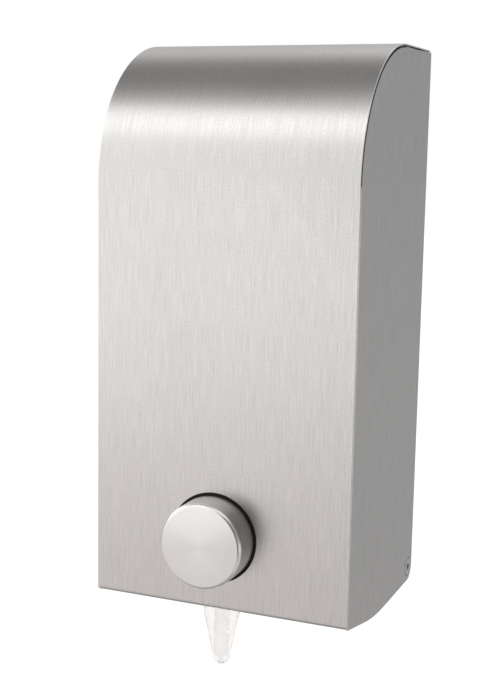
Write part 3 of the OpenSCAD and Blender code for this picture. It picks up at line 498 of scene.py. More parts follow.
lock_steel = turned_steel(
    "lock_steel", (0.62, 0.615, 0.61), (0.76, 0.755, 0.75), rough=0.18, vary=0.05,
    anisotropy=0.3, centre=(0, LOCK_Y * MM, TOP_Z * MM), axis=2,
)
# Nearly black metal for the side panels' edge faces in the seam under the wrap's curve: painted shadow
# of the gap
painted_seam_shadow = mill_metal(
    "painted_seam_shadow", (0.02, 0.02, 0.02), (0.045, 0.044, 0.043), (0.05, 0.05, 0.05),
    rough=0.6, vary=0.08, grain=0.0004, cloud=0.004,
)
lock_brass = mill_metal(
    "lock_brass", (0.62, 0.47, 0.24), (0.78, 0.62, 0.36), (0.9, 0.78, 0.52),
    rough=0.32, vary=0.08, grain=0.0004, cloud=0.006,
)
plate_steel = mill_metal(
    "plate_steel", (0.50, 0.505, 0.51), (0.66, 0.665, 0.67), (0.8, 0.8, 0.8),
    rough=0.42, vary=0.08, grain=0.0007, cloud=0.018,
)
screw_steel = mill_metal(
    "screw_steel", (0.48, 0.48, 0.475), (0.64, 0.635, 0.63), (0.82, 0.82, 0.81),
    rough=0.3, vary=0.07, grain=0.0004, cloud=0.004,
)
spring_steel = mill_metal(
    "spring_steel", (0.42, 0.42, 0.42), (0.6, 0.6, 0.6), (0.75, 0.75, 0.75),
    rough=0.26, vary=0.06, grain=0.0003, cloud=0.004,
)
black_plastic = moulded(
    "black_plastic", (0.007, 0.007, 0.0075), (0.014, 0.014, 0.0145), (0.03, 0.03, 0.03),
    rough=0.42, vary=0.08, grain=0.0005, depth=0.00003, specular=0.15,
)
white_plastic = moulded(
    "white_plastic", (0.76, 0.755, 0.735), (0.83, 0.828, 0.815), (0.88, 0.88, 0.87),
    rough=0.4, vary=0.06, grain=0.0007, depth=0.00004,
)
seal_rubber = moulded(
    "seal_rubber", (0.022, 0.022, 0.023), (0.038, 0.038, 0.039), (0.07, 0.07, 0.07),
    rough=0.68, vary=0.08, grain=0.0004, depth=0.00005,
)
tank_plastic = moulded(
    "tank_plastic", (0.74, 0.755, 0.745), (0.82, 0.832, 0.825), (0.88, 0.885, 0.88),
    rough=0.46, vary=0.07, grain=0.0011, depth=0.00006, transmission=0.25, subsurface=0.35,
)
clear_silicone = moulded(
    "clear_silicone", (0.95, 0.945, 0.938), (0.98, 0.976, 0.97), (0.98, 0.978, 0.974),
    rough=0.42, vary=0.06, grain=0.0009, depth=0.00003,
    transmission=0.85, subsurface=0.3, ior=1.1,
)


# Mesh tools, in millimetres until a piece is finished


def arc(centre, radius, start, end, steps):
    """Points of an arc in a plane, both ends included, angles in degrees."""
    points = []
    for i in range(steps + 1):
        a = math.radians(start + (end - start) * i / steps)
        points.append(Vector((centre[0] + radius * math.cos(a), centre[1] + radius * math.sin(a))))
    return points


def rounded(corners, step=6.0):
    """Outline whose corners are (u, v, radius), each turned by chords of a step in degrees."""
    points = []
    count = len(corners)
    for i, (u, v, radius) in enumerate(corners):
        here = Vector((u, v))
        if radius <= 0:
            points.append(here)
            continue
        before = (Vector(corners[i - 1][:2]) - here).normalized()
        after = (Vector(corners[(i + 1) % count][:2]) - here).normalized()
        half = before.angle(after) / 2
        centre = here + (before + after).normalized() * radius / math.sin(half)
        first = here + before * radius / math.tan(half) - centre
        sweep = math.pi - 2 * half
        if before.cross(after) > 0:
            sweep = -sweep
        steps = max(2, math.ceil(math.degrees(abs(sweep)) / step))
        for k in range(steps + 1):
            points.append(centre + Matrix.Rotation(sweep * k / steps, 2) @ first)
    return points


def rounded_box(x0, x1, y0, y1, radius, step):
    """Outline of a rectangle whose four corners have one radius."""
    return rounded([(x0, y0, radius), (x1, y0, radius), (x1, y1, radius), (x0, y1, radius)], step)


def loft(rings, caps=True, close=False):
    """Skin over rings of equal count, each ring a closed loop."""
    bm = bmesh.new()
    rows = [[bm.verts.new(p) for p in ring] for ring in rings]
    pairs = list(zip(rows, rows[1:]))
    if close:
        pairs.append((rows[-1], rows[0]))
    for low, high in pairs:
        count = len(low)
        for i in range(count):
            j = (i + 1) % count
            bm.faces.new((low[i], low[j], high[j], high[i]))
    if caps:
        bm.faces.new(list(reversed(rows[0])))
        bm.faces.new(rows[-1])
    bmesh.ops.recalc_face_normals(bm, faces=bm.faces)
    return bm


def rounded_end(half, radius, steps):
    """Rows of (x, depth) over a rounded end: how far in a section is drawn, from the tip inwards."""
    rows = []
    for k in range(steps + 1):
        a = math.pi / 2 * (1 - k / steps)
        rows.append((half - radius + radius * math.sin(a), radius * (1 - math.cos(a))))
    return rows


def span(rows, ring):
    """Skin from the left end to the right, over rows of (x, depth) and their rings."""
    rings = [ring(-x, depth) for x, depth in rows]
    rings += [ring(x, depth) for x, depth in reversed(rows)]
    return loft(rings)


def lathe(section, steps=96, frame_matrix=None):
    """A closed half section of (radius, height) points, turned round its axis."""
    rings = []
    for k in range(steps):
        a = 2 * math.pi * k / steps
        rings.append([(r * math.cos(a), r * math.sin(a), h) for r, h in section])
    bm = loft(rings, caps=False, close=True)
    bmesh.ops.remove_doubles(bm, verts=bm.verts, dist=1e-5)
    bmesh.ops.dissolve_degenerate(bm, edges=bm.edges, dist=1e-6)
    bmesh.ops.recalc_face_normals(bm, faces=bm.faces)
    if frame_matrix is not None:
        bm.transform(frame_matrix)
    return bm


def prism(outline, axis, low, high):
    """An outline pushed along one axis. The outline runs in the other two, in their order."""
    rings = []
    for at in (low, high):
        ring = []
        for u, v in outline:
            spot = [u, v]
            spot.insert(axis, at)
            ring.append(tuple(spot))
        rings.append(ring)
    return loft(rings)


def block(x0, x1, y0, y1, z0, z1):
    return prism([(x0, y0), (x1, y0), (x1, y1), (x0, y1)], 2, z0, z1)


def rod(axis, at, low, high, radius, steps=96):
    """A cylinder along one axis, at a point of the other two. Six steps make a hexagon."""
    outline = [(at[0] + p.x, at[1] + p.y) for p in arc((0, 0), radius, 0, 360, steps)[:-1]]
    return prism(outline, axis, low, high)


def scratch_object(bm, name):
    mesh = bpy.data.meshes.new(name)
    bm.to_mesh(mesh)
    bm.free()
    obj = bpy.data.objects.new(name, mesh)
    scene.collection.objects.link(obj)
    return obj


def carve(base, cuts=(), joins=()):
    """base with the joins added and then the cuts taken out."""
    body = scratch_object(base, "scratch_base")
    tools = []
    for operation, shapes in (("UNION", joins), ("DIFFERENCE", cuts)):
        for shape in shapes:
            tool = scratch_object(shape, "scratch_tool")
            tools.append(tool)
            modifier = body.modifiers.new("carve", "BOOLEAN")
            modifier.operation = operation
            modifier.solver = "EXACT"
            modifier.object = tool
    bpy.context.view_layer.update()
    shaped = body.evaluated_get(bpy.context.evaluated_depsgraph_get())
    bm = bmesh.new()
    bm.from_mesh(shaped.to_mesh())
    shaped.to_mesh_clear()
    for obj in [body, *tools]:
        mesh = obj.data
        bpy.data.objects.remove(obj)
        bpy.data.meshes.remove(mesh)
    return bm


def join_flats(bm):
    """Joins points that lie together and faces that lie in one plane."""
    bmesh.ops.remove_doubles(bm, verts=bm.verts, dist=1e-4)
    bmesh.ops.dissolve_limit(bm, angle_limit=math.radians(0.3), verts=bm.verts, edges=bm.edges)


def round_edges(bm, edges, width, segments):
    bmesh.ops.bevel(
        bm, geom=edges, offset=width, offset_type="OFFSET", segments=segments, profile=0.5,
        affect="EDGES", clamp_overlap=True, harden_normals=False,
    )


def soften(bm, width, segments=2, limit=40.0):
    """Rounds the edges that turn by more than a limit in degrees."""
    join_flats(bm)
    sharp = [
        e for e in bm.edges
        if len(e.link_faces) == 2 and e.calc_face_angle(0) > math.radians(limit)
    ]
    round_edges(bm, sharp, width, segments)
    return bm


def mirrored(bm):
    other = bm.copy()
    other.transform(Matrix.Scale(-1, 4, (1, 0, 0)))
    bmesh.ops.reverse_faces(other, faces=other.faces)
    return other


def merged(*shapes):
    """Several shapes as one mesh."""
    mesh = bpy.data.meshes.new("scratch_merge")
    total = bmesh.new()
    for shape in shapes:
        shape.to_mesh(mesh)
        shape.free()
        total.from_mesh(mesh)
    bpy.data.meshes.remove(mesh)
    return total


def finish_piece(name, bm, material, node, brush=None, sharp=32.0, even=True):
    """Turns a shape into a piece that stands for its node and moves with the node's body."""
    if brush is not None:
        layer = bm.loops.layers.uv.new("brush")
        for face in bm.faces:
            for loop in face.loops:
                loop[layer].uv = brush(loop.vert.co)
    bm.transform(Matrix.Scale(MM, 4))
    obj = scratch_object(bm, name)
    obj.data.materials.append(material)
    obj.data.shade_smooth()
    obj.data.set_sharp_from_angle(angle=math.radians(sharp))
    if even:
        weighted = obj.modifiers.new("even_shading", "WEIGHTED_NORMAL")
        weighted.mode = "FACE_AREA"
        weighted.weight = 60
        weighted.keep_sharp = True
    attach(obj, body_of_node[node])
    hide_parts(node)
    return obj


# Front wrap: hem, front, curve, top and rear lip as one bent sheet


def wrap_path():
    """Points along the outside of the sheet with their outward direction, from hem to lip."""
    near = 0.25
    hem_end = Vector((FRONT_Y + HEM_D, FRONT_Z))
    lip_end = Vector((BACK_Y, TOP_Z - REAR_LIP))
    down, forward, up, back = (0, -1), (-1, 0), (0, 1), (1, 0)
    path = []

    def straight(start, end, out):
        start, end = Vector(start), Vector(end)
        step = (end - start).normalized() * near
        for spot in (start + step, end - step):
            path.append((spot, Vector(out)))

    def curve(centre, radius, start, end, steps):
        centre = Vector(centre)
        for spot in arc(centre, radius, start, end, steps):
            path.append((spot, (spot - centre).normalized()))

    path.append((hem_end, Vector(down)))
    straight(hem_end, (FRONT_Y + HEM_R, FRONT_Z), down)
    curve((FRONT_Y + HEM_R, FRONT_Z + HEM_R), HEM_R, 270, 180, 10)
    straight((FRONT_Y, FRONT_Z + HEM_R), (FRONT_Y, ARC_Z), forward)
    curve((ARC_Y, ARC_Z), TOP_R, 180, 90, 90)
    straight((ARC_Y, TOP_Z), (REAR_BEND_Y, TOP_Z), up)
    curve((REAR_BEND_Y, TOP_Z - REAR_BEND_R), REAR_BEND_R, 90, 0, 12)
    straight((BACK_Y, TOP_Z - REAR_BEND_R), lip_end, back)
    path.append((lip_end, Vector(back)))
    return path


def wrap_ring(path, x, depth):
    """The sheet's section at x, drawn in by a depth on every side."""
    outer = [spot - out * depth for spot, out in path]
    inner = [spot - out * (SHEET - depth) for spot, out in path]
    for row in (outer, inner):
        row[0] = row[0] + (path[1][0] - path[0][0]).normalized() * depth
        row[-1] = row[-1] + (path[-2][0] - path[-1][0]).normalized() * depth
    return [(x, p.x, p.y) for p in outer + inner[::-1]]


def wrap_brush(spot):
    """Brush map of the wrap: across the sheet and along its bent length."""
    x, y, z = spot
    if z > ARC_Z and y < ARC_Y:
        along = ARC_Z + TOP_R * math.atan2(z - ARC_Z, ARC_Y - y)
    elif y < ARC_Y:
        along = z - max(0.0, y - INNER_Y)
    else:
        along = ARC_Z + TOP_R * math.pi / 2 + y - ARC_Y + max(0.0, TOP_Z - REAR_BEND_R - z)
    return (x, along)


def end_notches(y0, y1, z0, z1):
    """Cutters at both ends of the sheet, where it lies between the side panels."""
    return [
        block(HEM_X, SIDE_X + PAST, y0, y1, z0, z1),
        block(-SIDE_X - PAST, -HEM_X, y0, y1, z0, z1),
    ]


def make_front_wrap():
    edge_r = 0.12
    edge_flat = 0.25
    nozzle_room = 1.2
    path = wrap_path()
    rows = rounded_end(SIDE_X, edge_r, 4)
    rows.append((SIDE_X - edge_r - edge_flat, 0.0))
    low, high = FRONT_Z - PAST, FRONT_Z + HEM_R
    relief = carve(
        rod(2, (BUTTON_X, NOZZLE_Y), low, high, NOZZLE_R + nozzle_room),
        [block(-SIDE_X, SIDE_X, INNER_Y - 2 * NOZZLE_R, INNER_Y, low - PAST, high + PAST)],
    )
    bm = carve(span(rows, lambda x, depth: wrap_ring(path, x, depth)), [
        *end_notches(INNER_Y, INNER_Y + HEM_D, low, high),
        relief,
        rod(1, (BUTTON_X, BUTTON_Z), FRONT_Y - PAST, INNER_Y + PAST, GUIDE_R + RUN_GAP),
        rod(2, (0, LOCK_Y), TOP_Z - SHEET - PAST, TOP_Z + PAST, LOCK_R + RUN_GAP),
        *end_notches(REAR_BEND_Y, BACK_Y + PAST, TOP_Z - REAR_LIP - PAST, TOP_Z - SHEET),
    ])
    finish_piece("front_wrap_sheet", bm, wrap_steel, "front_wrap", wrap_brush)


# Side panels: plate with a folded front edge, sloping lower edge and a pivot hole


def panel_brush(spot):
    """Brush map of a side panel: across its depth and its fold, and along its height."""
    fold_share = 0.5
    return (spot.y + spot.x * fold_share, spot.z)


def panel_rim():
    """Section of the flange that a side panel has under the curve and the flat top."""
    lift = 2.0
    start = 180 - math.degrees(math.asin(lift / RIM_R))
    section = arc((ARC_Y, ARC_Z), RIM_R, start, 90, 60)
    section += [(REAR_BEND_Y, ARC_Z + RIM_R), (REAR_BEND_Y, ARC_Z + RIM_R - SHEET)]
    return section + arc((ARC_Y, ARC_Z), RIM_R - SHEET, 90, start, 60)


def in_seam(spot):
    """True for a point of a side panel's edge under the wrap's curve."""
    edge_depth = 0.65
    if spot.z < ARC_Z or spot.y > ARC_Y:
        return False
    return math.hypot(spot.y - ARC_Y, spot.z - ARC_Z) > TOP_R - SEAM - edge_depth


def turn_in_seam(bm, radius):
    """Rounds the outer edge of a side panel where it turns in under the curve."""
    near = 0.01
    join_flats(bm)
    rim = [e for e in bm.edges if all(v.co.x > SIDE_X - near and in_seam(v.co) for v in e.verts)]
    round_edges(bm, rim, radius, 3)


def make_side_panel(node, left):
    rear_rise = 0.35
    turn_r = 0.5
    fold_end = 1.0
    fold_lap = 0.2
    edge_r = 0.22
    edge_turn = 50
    side_face = 0.97
    fold_z = ARC_Z - fold_end
    curve = arc((ARC_Y, ARC_Z), TOP_R - SEAM, 90, 180, 60)
    outline = rounded([
        (INNER_Y, FRONT_Z - FLOOR_SLOPE * SHEET, 0),
        (KNEE_Y, BASE_Z, FLOOR_R),
        (BACK_Y, BASE_Z, CORNER_R),
        (BACK_Y, TOP_Z - SEAM + rear_rise, REAR_CORNER_R),
        *[(p.x, p.y, 0) for p in curve],
        (FRONT_Y + SEAM, fold_z, 0),
        (INNER_Y, fold_z, 0),
    ], 1.5)
    bend_x, bend_y = SIDE_X - FLANGE_R, INNER_Y + FLANGE_R
    outside = [(bend_x, INNER_Y - PAST), (SIDE_X + PAST, INNER_Y - PAST), (SIDE_X + PAST, bend_y)]
    outside += arc((bend_x, bend_y), FLANGE_R, 0, -90, 10)
    fold = [(bend_x, INNER_Y), (SIDE_X, INNER_Y), (SIDE_X, bend_y)]
    fold += arc((bend_x, bend_y), FLANGE_R - SHEET, 0, -90, 10)
    bm = carve(
        prism(outline, 0, PANEL_X, SIDE_X),
        [
            prism(outside, 2, BASE_Z, fold_z + 2 * PAST),
            rod(0, (PIVOT_Y, PIVOT_Z), PANEL_X - PAST, SIDE_X + PAST, PIVOT_HEAD_R + RUN_GAP),
        ],
        [
            prism(fold, 2, FLANGE_Z, fold_z),
            block(SIDE_X - FLANGE_W, bend_x + fold_lap, INNER_Y, INNER_Y + SHEET, FLANGE_Z, fold_z),
            prism(panel_rim(), 0, SIDE_X - RIM_W, SIDE_X - SHEET / 2),
        ],
    )
    turn_in_seam(bm, turn_r)
    soften(bm, edge_r, 2, edge_turn)
    if left:
        bm = mirrored(bm)
    panel = finish_piece(node + "_sheet", bm, side_steel, node, panel_brush)
    # The panel's edge faces in the seam get the nearly black metal, a painted shadow in the gap under
    # the wrap
    panel.data.materials.append(painted_seam_shadow)
    for face in panel.data.polygons:
        if abs(face.normal.x) < side_face and in_seam(face.center / MM):
            face.material_index = 1


# Button: satin cap in a black guide ring


def make_button_cap():
    face = -CAP_OUT
    wall = CAP_R - CAP_T
    rim = CAP_R - CAP_EDGE_R
    crown_steps = 8
    lip = 0.2
    straight = 0.3
    tilt = math.degrees(2 * CAP_CROWN / rim)
    edge = face + CAP_CROWN + CAP_EDGE_R
    section = []
    for k in range(crown_steps):
        out = k / crown_steps
        section.append((rim * out, face + CAP_CROWN * out ** 2))
    section += arc((rim, edge), CAP_EDGE_R, tilt - 90, 0, 16)
    section += [(CAP_R, edge + straight), (CAP_R, CAP_IN - lip - straight), (CAP_R, CAP_IN - lip)]
    section += [(CAP_R - lip, CAP_IN), (wall + lip, CAP_IN), (wall, CAP_IN - lip)]
    section += [(wall, face + CAP_EDGE_R + straight)]
    section += arc((rim, face + CAP_EDGE_R), CAP_EDGE_R - CAP_T, 0, -90, 8)
    section += [(0, face + CAP_T)]
    bm = lathe(section, 144, ON_BUTTON)
    finish_piece("button_cap_cup", bm, cap_steel, "button_cap")


def make_button_guide():
    groove = GUIDE_R - GUIDE_WALL / 2
    groove_end = SHEET + 0.9
    rod_hole = 4.05
    section = rounded([
        (GUIDE_BORE_R, -GUIDE_RIM_T, 0.25),
        (GUIDE_RIM_R, -GUIDE_RIM_T, 0.3),
        (GUIDE_RIM_R, 0, 0),
        (GUIDE_R, 0, 0),
        (GUIDE_R, SHEET, 0),
        (groove, SHEET, 0),
        (groove, groove_end, 0),
        (GUIDE_R, groove_end, 0),
        (GUIDE_R, GUIDE_D, 0.6),
        (rod_hole, GUIDE_D, 0),
        (rod_hole, SPRING_SEAT, 0.2),
        (GUIDE_BORE_R, SPRING_SEAT, 0.5),
    ], 15)
    bm = lathe(section, 144, ON_BUTTON)
    finish_piece("button_guide_sleeve", bm, black_plastic, "button_guide")


# Nozzle: soft taper with a small outlet, hung by a flange


def make_nozzle():
    flange_top = -122.35
    flange_t = 2.0
    flange_w = 4.0
    flange_front = 0.15
    flange_back = 0.8
    flange_corner = 3.0
    neck = flange_top - flange_t
    collar = 3.0
    shoulder_z = FRONT_Z - 5.5
    waist_z = FRONT_Z - 14.5
    waist_r = 6.05
    bend_r = 14.0
    tip = FRONT_Z - 29.4
    tip_h = 4.6
    tip_r = 4.2
    bore = 3.0
    funnel = 0.6
    outlet = 1.2
    outlet_lip = 0.25
    lip_low, lip_high = 0.04, 0.35
    outer = rounded([
        (0, neck, 0),
        (NOZZLE_R, neck, 0),
        (NOZZLE_R, shoulder_z, bend_r),
        (waist_r, waist_z, bend_r),
        (tip_r, tip + tip_h, 0),
    ], 2.0)
    section = outer[1:]
    for degrees in range(8, 83, 8):
        a = math.radians(degrees)
        section.append((tip_r * math.cos(a), tip + tip_h * (1 - math.sin(a))))
    section += [(outlet + outlet_lip, tip + lip_low), (outlet, tip + lip_high)]
    section += [(outlet, tip + tip_h - funnel), (bore, tip + tip_h), (bore, flange_top)]
    section += [(bore + collar, flange_top), (bore + collar, neck)]
    stem = lathe(section, 96, Matrix.Translation((BUTTON_X, NOZZLE_Y, 0)))
    left, right = BUTTON_X - NOZZLE_R - flange_w, BUTTON_X + NOZZLE_R + flange_w
    front, back = INNER_Y + flange_front, NOZZLE_Y + NOZZLE_R + flange_back
    plate = rounded_box(left, right, front, back, flange_corner, 10)
    flange = carve(
        prism(plate, 2, neck, flange_top),
        [rod(2, (BUTTON_X, NOZZLE_Y), neck - PAST, flange_top + PAST, bore, 96)],
    )
    bm = carve(stem, joins=[flange])
    finish_piece("nozzle_body", bm, clear_silicone, "nozzle")


# Pivot screws: flush heads with a hex socket


def make_pivot_screws():
    head_t = 1.8
    shank_r, shank_l = 2.45, 6.5
    rebate_w, rebate_d = 0.45, 0.6
    socket_d, socket_flats = 1.2, 3.0
    face_r = PIVOT_HEAD_R - rebate_w
    step = head_t - rebate_d
    section = rounded([
        (0, head_t, 0),
        (face_r, head_t, 0.2),
        (face_r, step, 0),
        (PIVOT_HEAD_R, step, 0.1),
        (PIVOT_HEAD_R, 0, 0),
        (shank_r, 0, 0),
        (shank_r, -shank_l, 0.4),
        (0, -shank_l, 0),
    ], 15)
    along_x = Matrix.Translation((EAR_X, PIVOT_Y, PIVOT_Z)) @ Matrix.Rotation(math.pi / 2, 4, "Y")
    socket_r = socket_flats / math.sqrt(3)
    socket = rod(0, (PIVOT_Y, PIVOT_Z), EAR_X + head_t - socket_d, SIDE_X + PAST, socket_r, 6)
    bm = carve(lathe(section, 72, along_x), [socket])
    pair = merged(bm, mirrored(bm))
    finish_piece("pivot_screw_pair", pair, pivot_steel, "pivot_screws")


# Lock: rim and barrel round a plug with a key slot


def make_lock_housing():
    bore = 5.55
    length = 15.5
    rim_r, rim_t = LOCK_R + 1.5, 0.5
    section = rounded([
        (bore, rim_t, 0.15),
        (rim_r, rim_t, 0.35),
        (rim_r, 0, 0),
        (LOCK_R, 0, 0),
        (LOCK_R, -length, 0.4),
        (bore, -length, 0),
    ], 12)
    bm = lathe(section, 96, ON_LOCK)
    finish_piece("lock_housing_barrel", bm, lock_steel, "lock_housing")


def make_lock_plug():
    radius = 5.5
    face, end = 0.3, -17.5
    top, bottom = TOP_Z + face, TOP_Z + end
    half_w, half_l, key_r = 0.6, 3.5, 0.25
    key_d = 8.0
    ward_x0, ward_x1 = 0.3, 1.5
    ward_y0, ward_y1 = LOCK_Y - 0.9, LOCK_Y + 0.5
    square, square_l, square_lap = 3.0, 2.0, 0.5
    screw_r, screw_d = 1.55, 4.0
    section = rounded([(0, face, 0), (radius, face, 0.35), (radius, end, 0.3), (0, end, 0)], 15)
    keyhole = rounded_box(-half_w, half_w, -half_l, half_l, key_r, 30)
    stub_end = bottom - square_l
    bm = carve(
        lathe(section, 72, ON_LOCK),
        [
            prism([(p.x, p.y + LOCK_Y) for p in keyhole], 2, top - key_d, top + PAST),
            block(ward_x0, ward_x1, ward_y0, ward_y1, top - key_d, top + PAST),
            rod(2, (0, LOCK_Y), stub_end - PAST, bottom + screw_d, screw_r, 32),
        ],
        [block(-square, square, LOCK_Y - square, LOCK_Y + square, stub_end, bottom + square_lap)],
    )
    finish_piece("lock_plug_key_barrel", bm, lock_brass, "lock_plug")


# Return spring: round wire with closed ends


def make_return_spring():
    wire_r = 0.6
    radius = 8.2
    start, end = -10.85, 13.25
    turns = 7.5
    closed = 0.8
    closed_lead = 2 * wire_r * 1.12
    free_rise = end - start - 2 * closed * closed_lead
    steps = 360
    sides = 12
    rings = []
    for i in range(steps + 1):
        t = i / steps * turns
        free = min(max((t - closed) / (turns - 2 * closed), 0.0), 1.0)
        shut = min(t, closed) + max(t - (turns - closed), 0.0)
        a = 2 * math.pi * t
        out = Vector((math.cos(a), math.sin(a), 0))
        centre = out * radius + Vector((0, 0, start + free_rise * free + shut * closed_lead))
        ring = []
        for k in range(sides):
            b = 2 * math.pi * k / sides
            ring.append(centre + out * (wire_r * math.cos(b)) + Vector((0, 0, wire_r * math.sin(b))))
        rings.append(ring)
    bm = loft(rings)
    bm.transform(ON_BUTTON)
    coil = finish_piece(
        "return_spring_coil", bm, spring_steel, "return_spring", even=False
    )
    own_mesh(coil)


# Tank: blow-moulded shell with soft edges, a parting line and a filler neck


def tank_side(inset):
    """Outline of the tank from the side, drawn in by an inset."""
    least_r = 1.2
    corner = max(TANK_EDGE_R - inset, least_r)
    slope_shift = inset * (math.sqrt(2) - 1)
    y0, y1 = TANK_Y0 + inset, TANK_Y1 - inset
    z0, z1 = TANK_Z0 + inset, TANK_Z1 - inset
    return rounded([
        (y0, z0, corner),
        (y1, z0, corner),
        (y1, TANK_Z1 - SHOULDER - slope_shift, corner),
        (TANK_Y1 - SHOULDER - slope_shift, z1, corner),
        (y0, z1, TANK_TOP_R - inset),
    ], 5)


def tank_form(inset, round_r, parting=()):
    """Closed form of the tank, drawn in by an inset, with its sides rounded over."""
    rows = [(x, inset + depth) for x, depth in rounded_end(TANK_X - inset, round_r, 6)]
    rows += parting
    return span(rows, lambda x, depth: [(x, p.x, p.y) for p in tank_side(depth)])


def make_tank():
    side_r = 7.0
    parting = [(0.9, 0.0), (0.35, -0.28)]
    thread_r = NECK_R - 0.6
    thread_turns = (3.2, 6.0)
    ridge_h, ridge_top, ridge_foot = 0.55, 0.35, 0.9
    neck_edge = 0.4
    neck_in, bore_in = 4, 6
    bore_r = NECK_R - TANK_WALL
    outlet_y, outlet_r, outlet_d = -62, 6.0, 4
    pads = [(x, TANK_PAD_Y) for x in (-30, 30)]
    pad_r, pad_h = 6, 9
    screw_r, screw_d = 2.05, 7.2
    neck = [(0, -neck_in), (thread_r, -neck_in)]
    for at in thread_turns:
        neck += [(thread_r, at - ridge_foot), (thread_r + ridge_h, at - ridge_top)]
        neck += [(thread_r + ridge_h, at + ridge_top), (thread_r, at + ridge_foot)]
    neck += [(thread_r, NECK_H - neck_edge), (thread_r - neck_edge, NECK_H), (0, NECK_H)]
    bore = [(0, -bore_in), (bore_r, -bore_in), (bore_r, NECK_H + PAST), (0, NECK_H + PAST)]
    shell = carve(
        tank_form(0, side_r, parting),
        [
            tank_form(TANK_WALL, side_r - TANK_WALL),
            lathe(bore, 72, ON_FILLER),
            rod(2, (BUTTON_X, outlet_y), TANK_Z0 - PAST, TANK_Z0 + outlet_d, outlet_r, 48),
        ],
        [lathe(neck, 96, ON_FILLER)],
    )
    bm = carve(
        shell,
        [rod(2, at, TANK_Z0 - PAST, TANK_Z0 + screw_d, screw_r, 32) for at in pads],
        [rod(2, at, TANK_Z0, TANK_Z0 + pad_h, pad_r, 48) for at in pads],
    )
    finish_piece("tank_shell", bm, tank_plastic, "tank", sharp=40)


# Filler cap: ribbed skirt with a grip bar


def make_filler_cap():
    low = 1.5
    radius = 18.3
    top = low + 11.1
    ribs = 16
    groove_r = 1.2
    groove_at = radius + 0.4
    groove_top = top - 1.2
    steps = 32 * ribs
    bar_x, bar_y, bar_r = 15.6, 3.0, 2.6
    bar_in, bar_h, bar_edge = 1.0, 4.0, 0.8
    hollow_r, hollow_top = NECK_R + LOOSE_GAP, low + 8.9

    def reach(a, at):
        """Outside radius at an angle, where a groove takes a bite out of the skirt."""
        turn = 2 * math.pi / ribs
        off = (a + turn / 2) % turn - turn / 2
        side = groove_at * math.sin(off)
        if at > groove_top or abs(side) >= groove_r:
            return radius
        return min(radius, groove_at * math.cos(off) - math.sqrt(groove_r ** 2 - side ** 2))

    # Height and inset of each ring, from the lower edge over the grooves to the rounded top
    rows = [
        (low, 0.25), (low + 0.25, 0.0), (top - 1.4, 0.0), (top - 1.19, 0.0), (top - 0.8, 0.0),
        (top - 0.55, 0.08), (top - 0.25, 0.3), (top, 0.8),
    ]
    rings = []
    for at, inset in rows:
        ring = []
        for k in range(steps):
            a = 2 * math.pi * k / steps
            r = reach(a, at) - inset
            ring.append((r * math.cos(a), r * math.sin(a), at))
        rings.append(ring)
    bar = rounded_box(-bar_x, bar_x, -bar_y, bar_y, bar_r, 15)
    handle = soften(prism(bar, 2, top - bar_in, top + bar_h), bar_edge, 3)
    hollow = lathe([(0, low - PAST), (hollow_r, low - PAST), (hollow_r, hollow_top), (0, hollow_top)])
    bm = carve(loft(rings), [hollow], [handle])
    bm.transform(ON_FILLER)
    finish_piece("filler_cap_ribbed", bm, white_plastic, "filler_cap")


# The other parts keep the shape of their solids, with their edges eased


def dress(node, material, width):
    """A piece with the node's own shape and rounded edges."""
    bm = bmesh.new()
    bm.from_mesh(frame["nodes"][node].data)
    bm.transform(Matrix.Scale(1 / MM, 4))
    bmesh.ops.remove_doubles(bm, verts=bm.verts, dist=1e-3)
    soften(bm, width)
    finish_piece(node + "_eased", bm, material, node)


make_front_wrap()
make_side_panel("right_side_panel", False)
make_side_panel("left_side_panel", True)
make_button_cap()
make_button_guide()
make_nozzle()
make_pivot_screws()
make_lock_housing()
make_lock_plug()
make_return_spring()
make_tank()
make_filler_cap()

# Width of the eased edge of each node, by finish
eased_nodes = (
    (plate_steel, "plain_steel", {
        "wall_plate": 0.2, "lock_strike": 0.25, "tank_tray": 0.2, "nozzle_clamp": 0.25,
        "lock_cam": 0.25, "lock_nut": 0.35,
    }),
    (screw_steel, "plain_steel", {
        "pivot_nuts": 0.3, "strike_rivets": 0.4, "stop_pins": 0.25, "tank_screws": 0.3,
        "pump_screws": 0.2, "clamp_screws": 0.2, "cam_screw": 0.25,
    }),
    (spring_steel, "plain_steel", {"guide_circlip": 0.12, "plunger_clip": 0.12}),
    (white_plastic, "white_plastic", {
        "outlet_fitting": 0.25, "fitting_nut": 0.4, "plunger": 0.2, "piston": 0.2,
        "pump_cylinder": 0.25, "valve_seat": 0.2, "outlet_manifold": 0.35,
    }),
    (black_plastic, "black_plastic", {"friction_washers": 0.15}),
    (seal_rubber, "seal_rubber", {
        "filler_seal": 0.25, "fitting_seal": 0.2, "piston_seal": 0.3, "inlet_grommet": 0.3,
        "manifold_seal": 0.2,
    }),
)
for material, slot, widths in eased_nodes:
    for node, width in widths.items():
        dress(node, material, width)

ball = frame["nodes"]["valve_ball"]
ball.data.materials.clear()
ball.data.materials.append(spring_steel)


# Studio: pale floor, white surroundings with dim patches, soft lamps and grey cards for the metal

SQUARE = ((-1, -1), (1, -1), (1, 1), (-1, 1))


def toward(azimuth, elevation):
    """Direction from the object, with the azimuth from straight ahead and positive to the right."""
    a, e = math.radians(azimuth), math.radians(elevation)
    return Vector((math.sin(a) * math.cos(e), -math.cos(a) * math.cos(e), math.sin(e)))


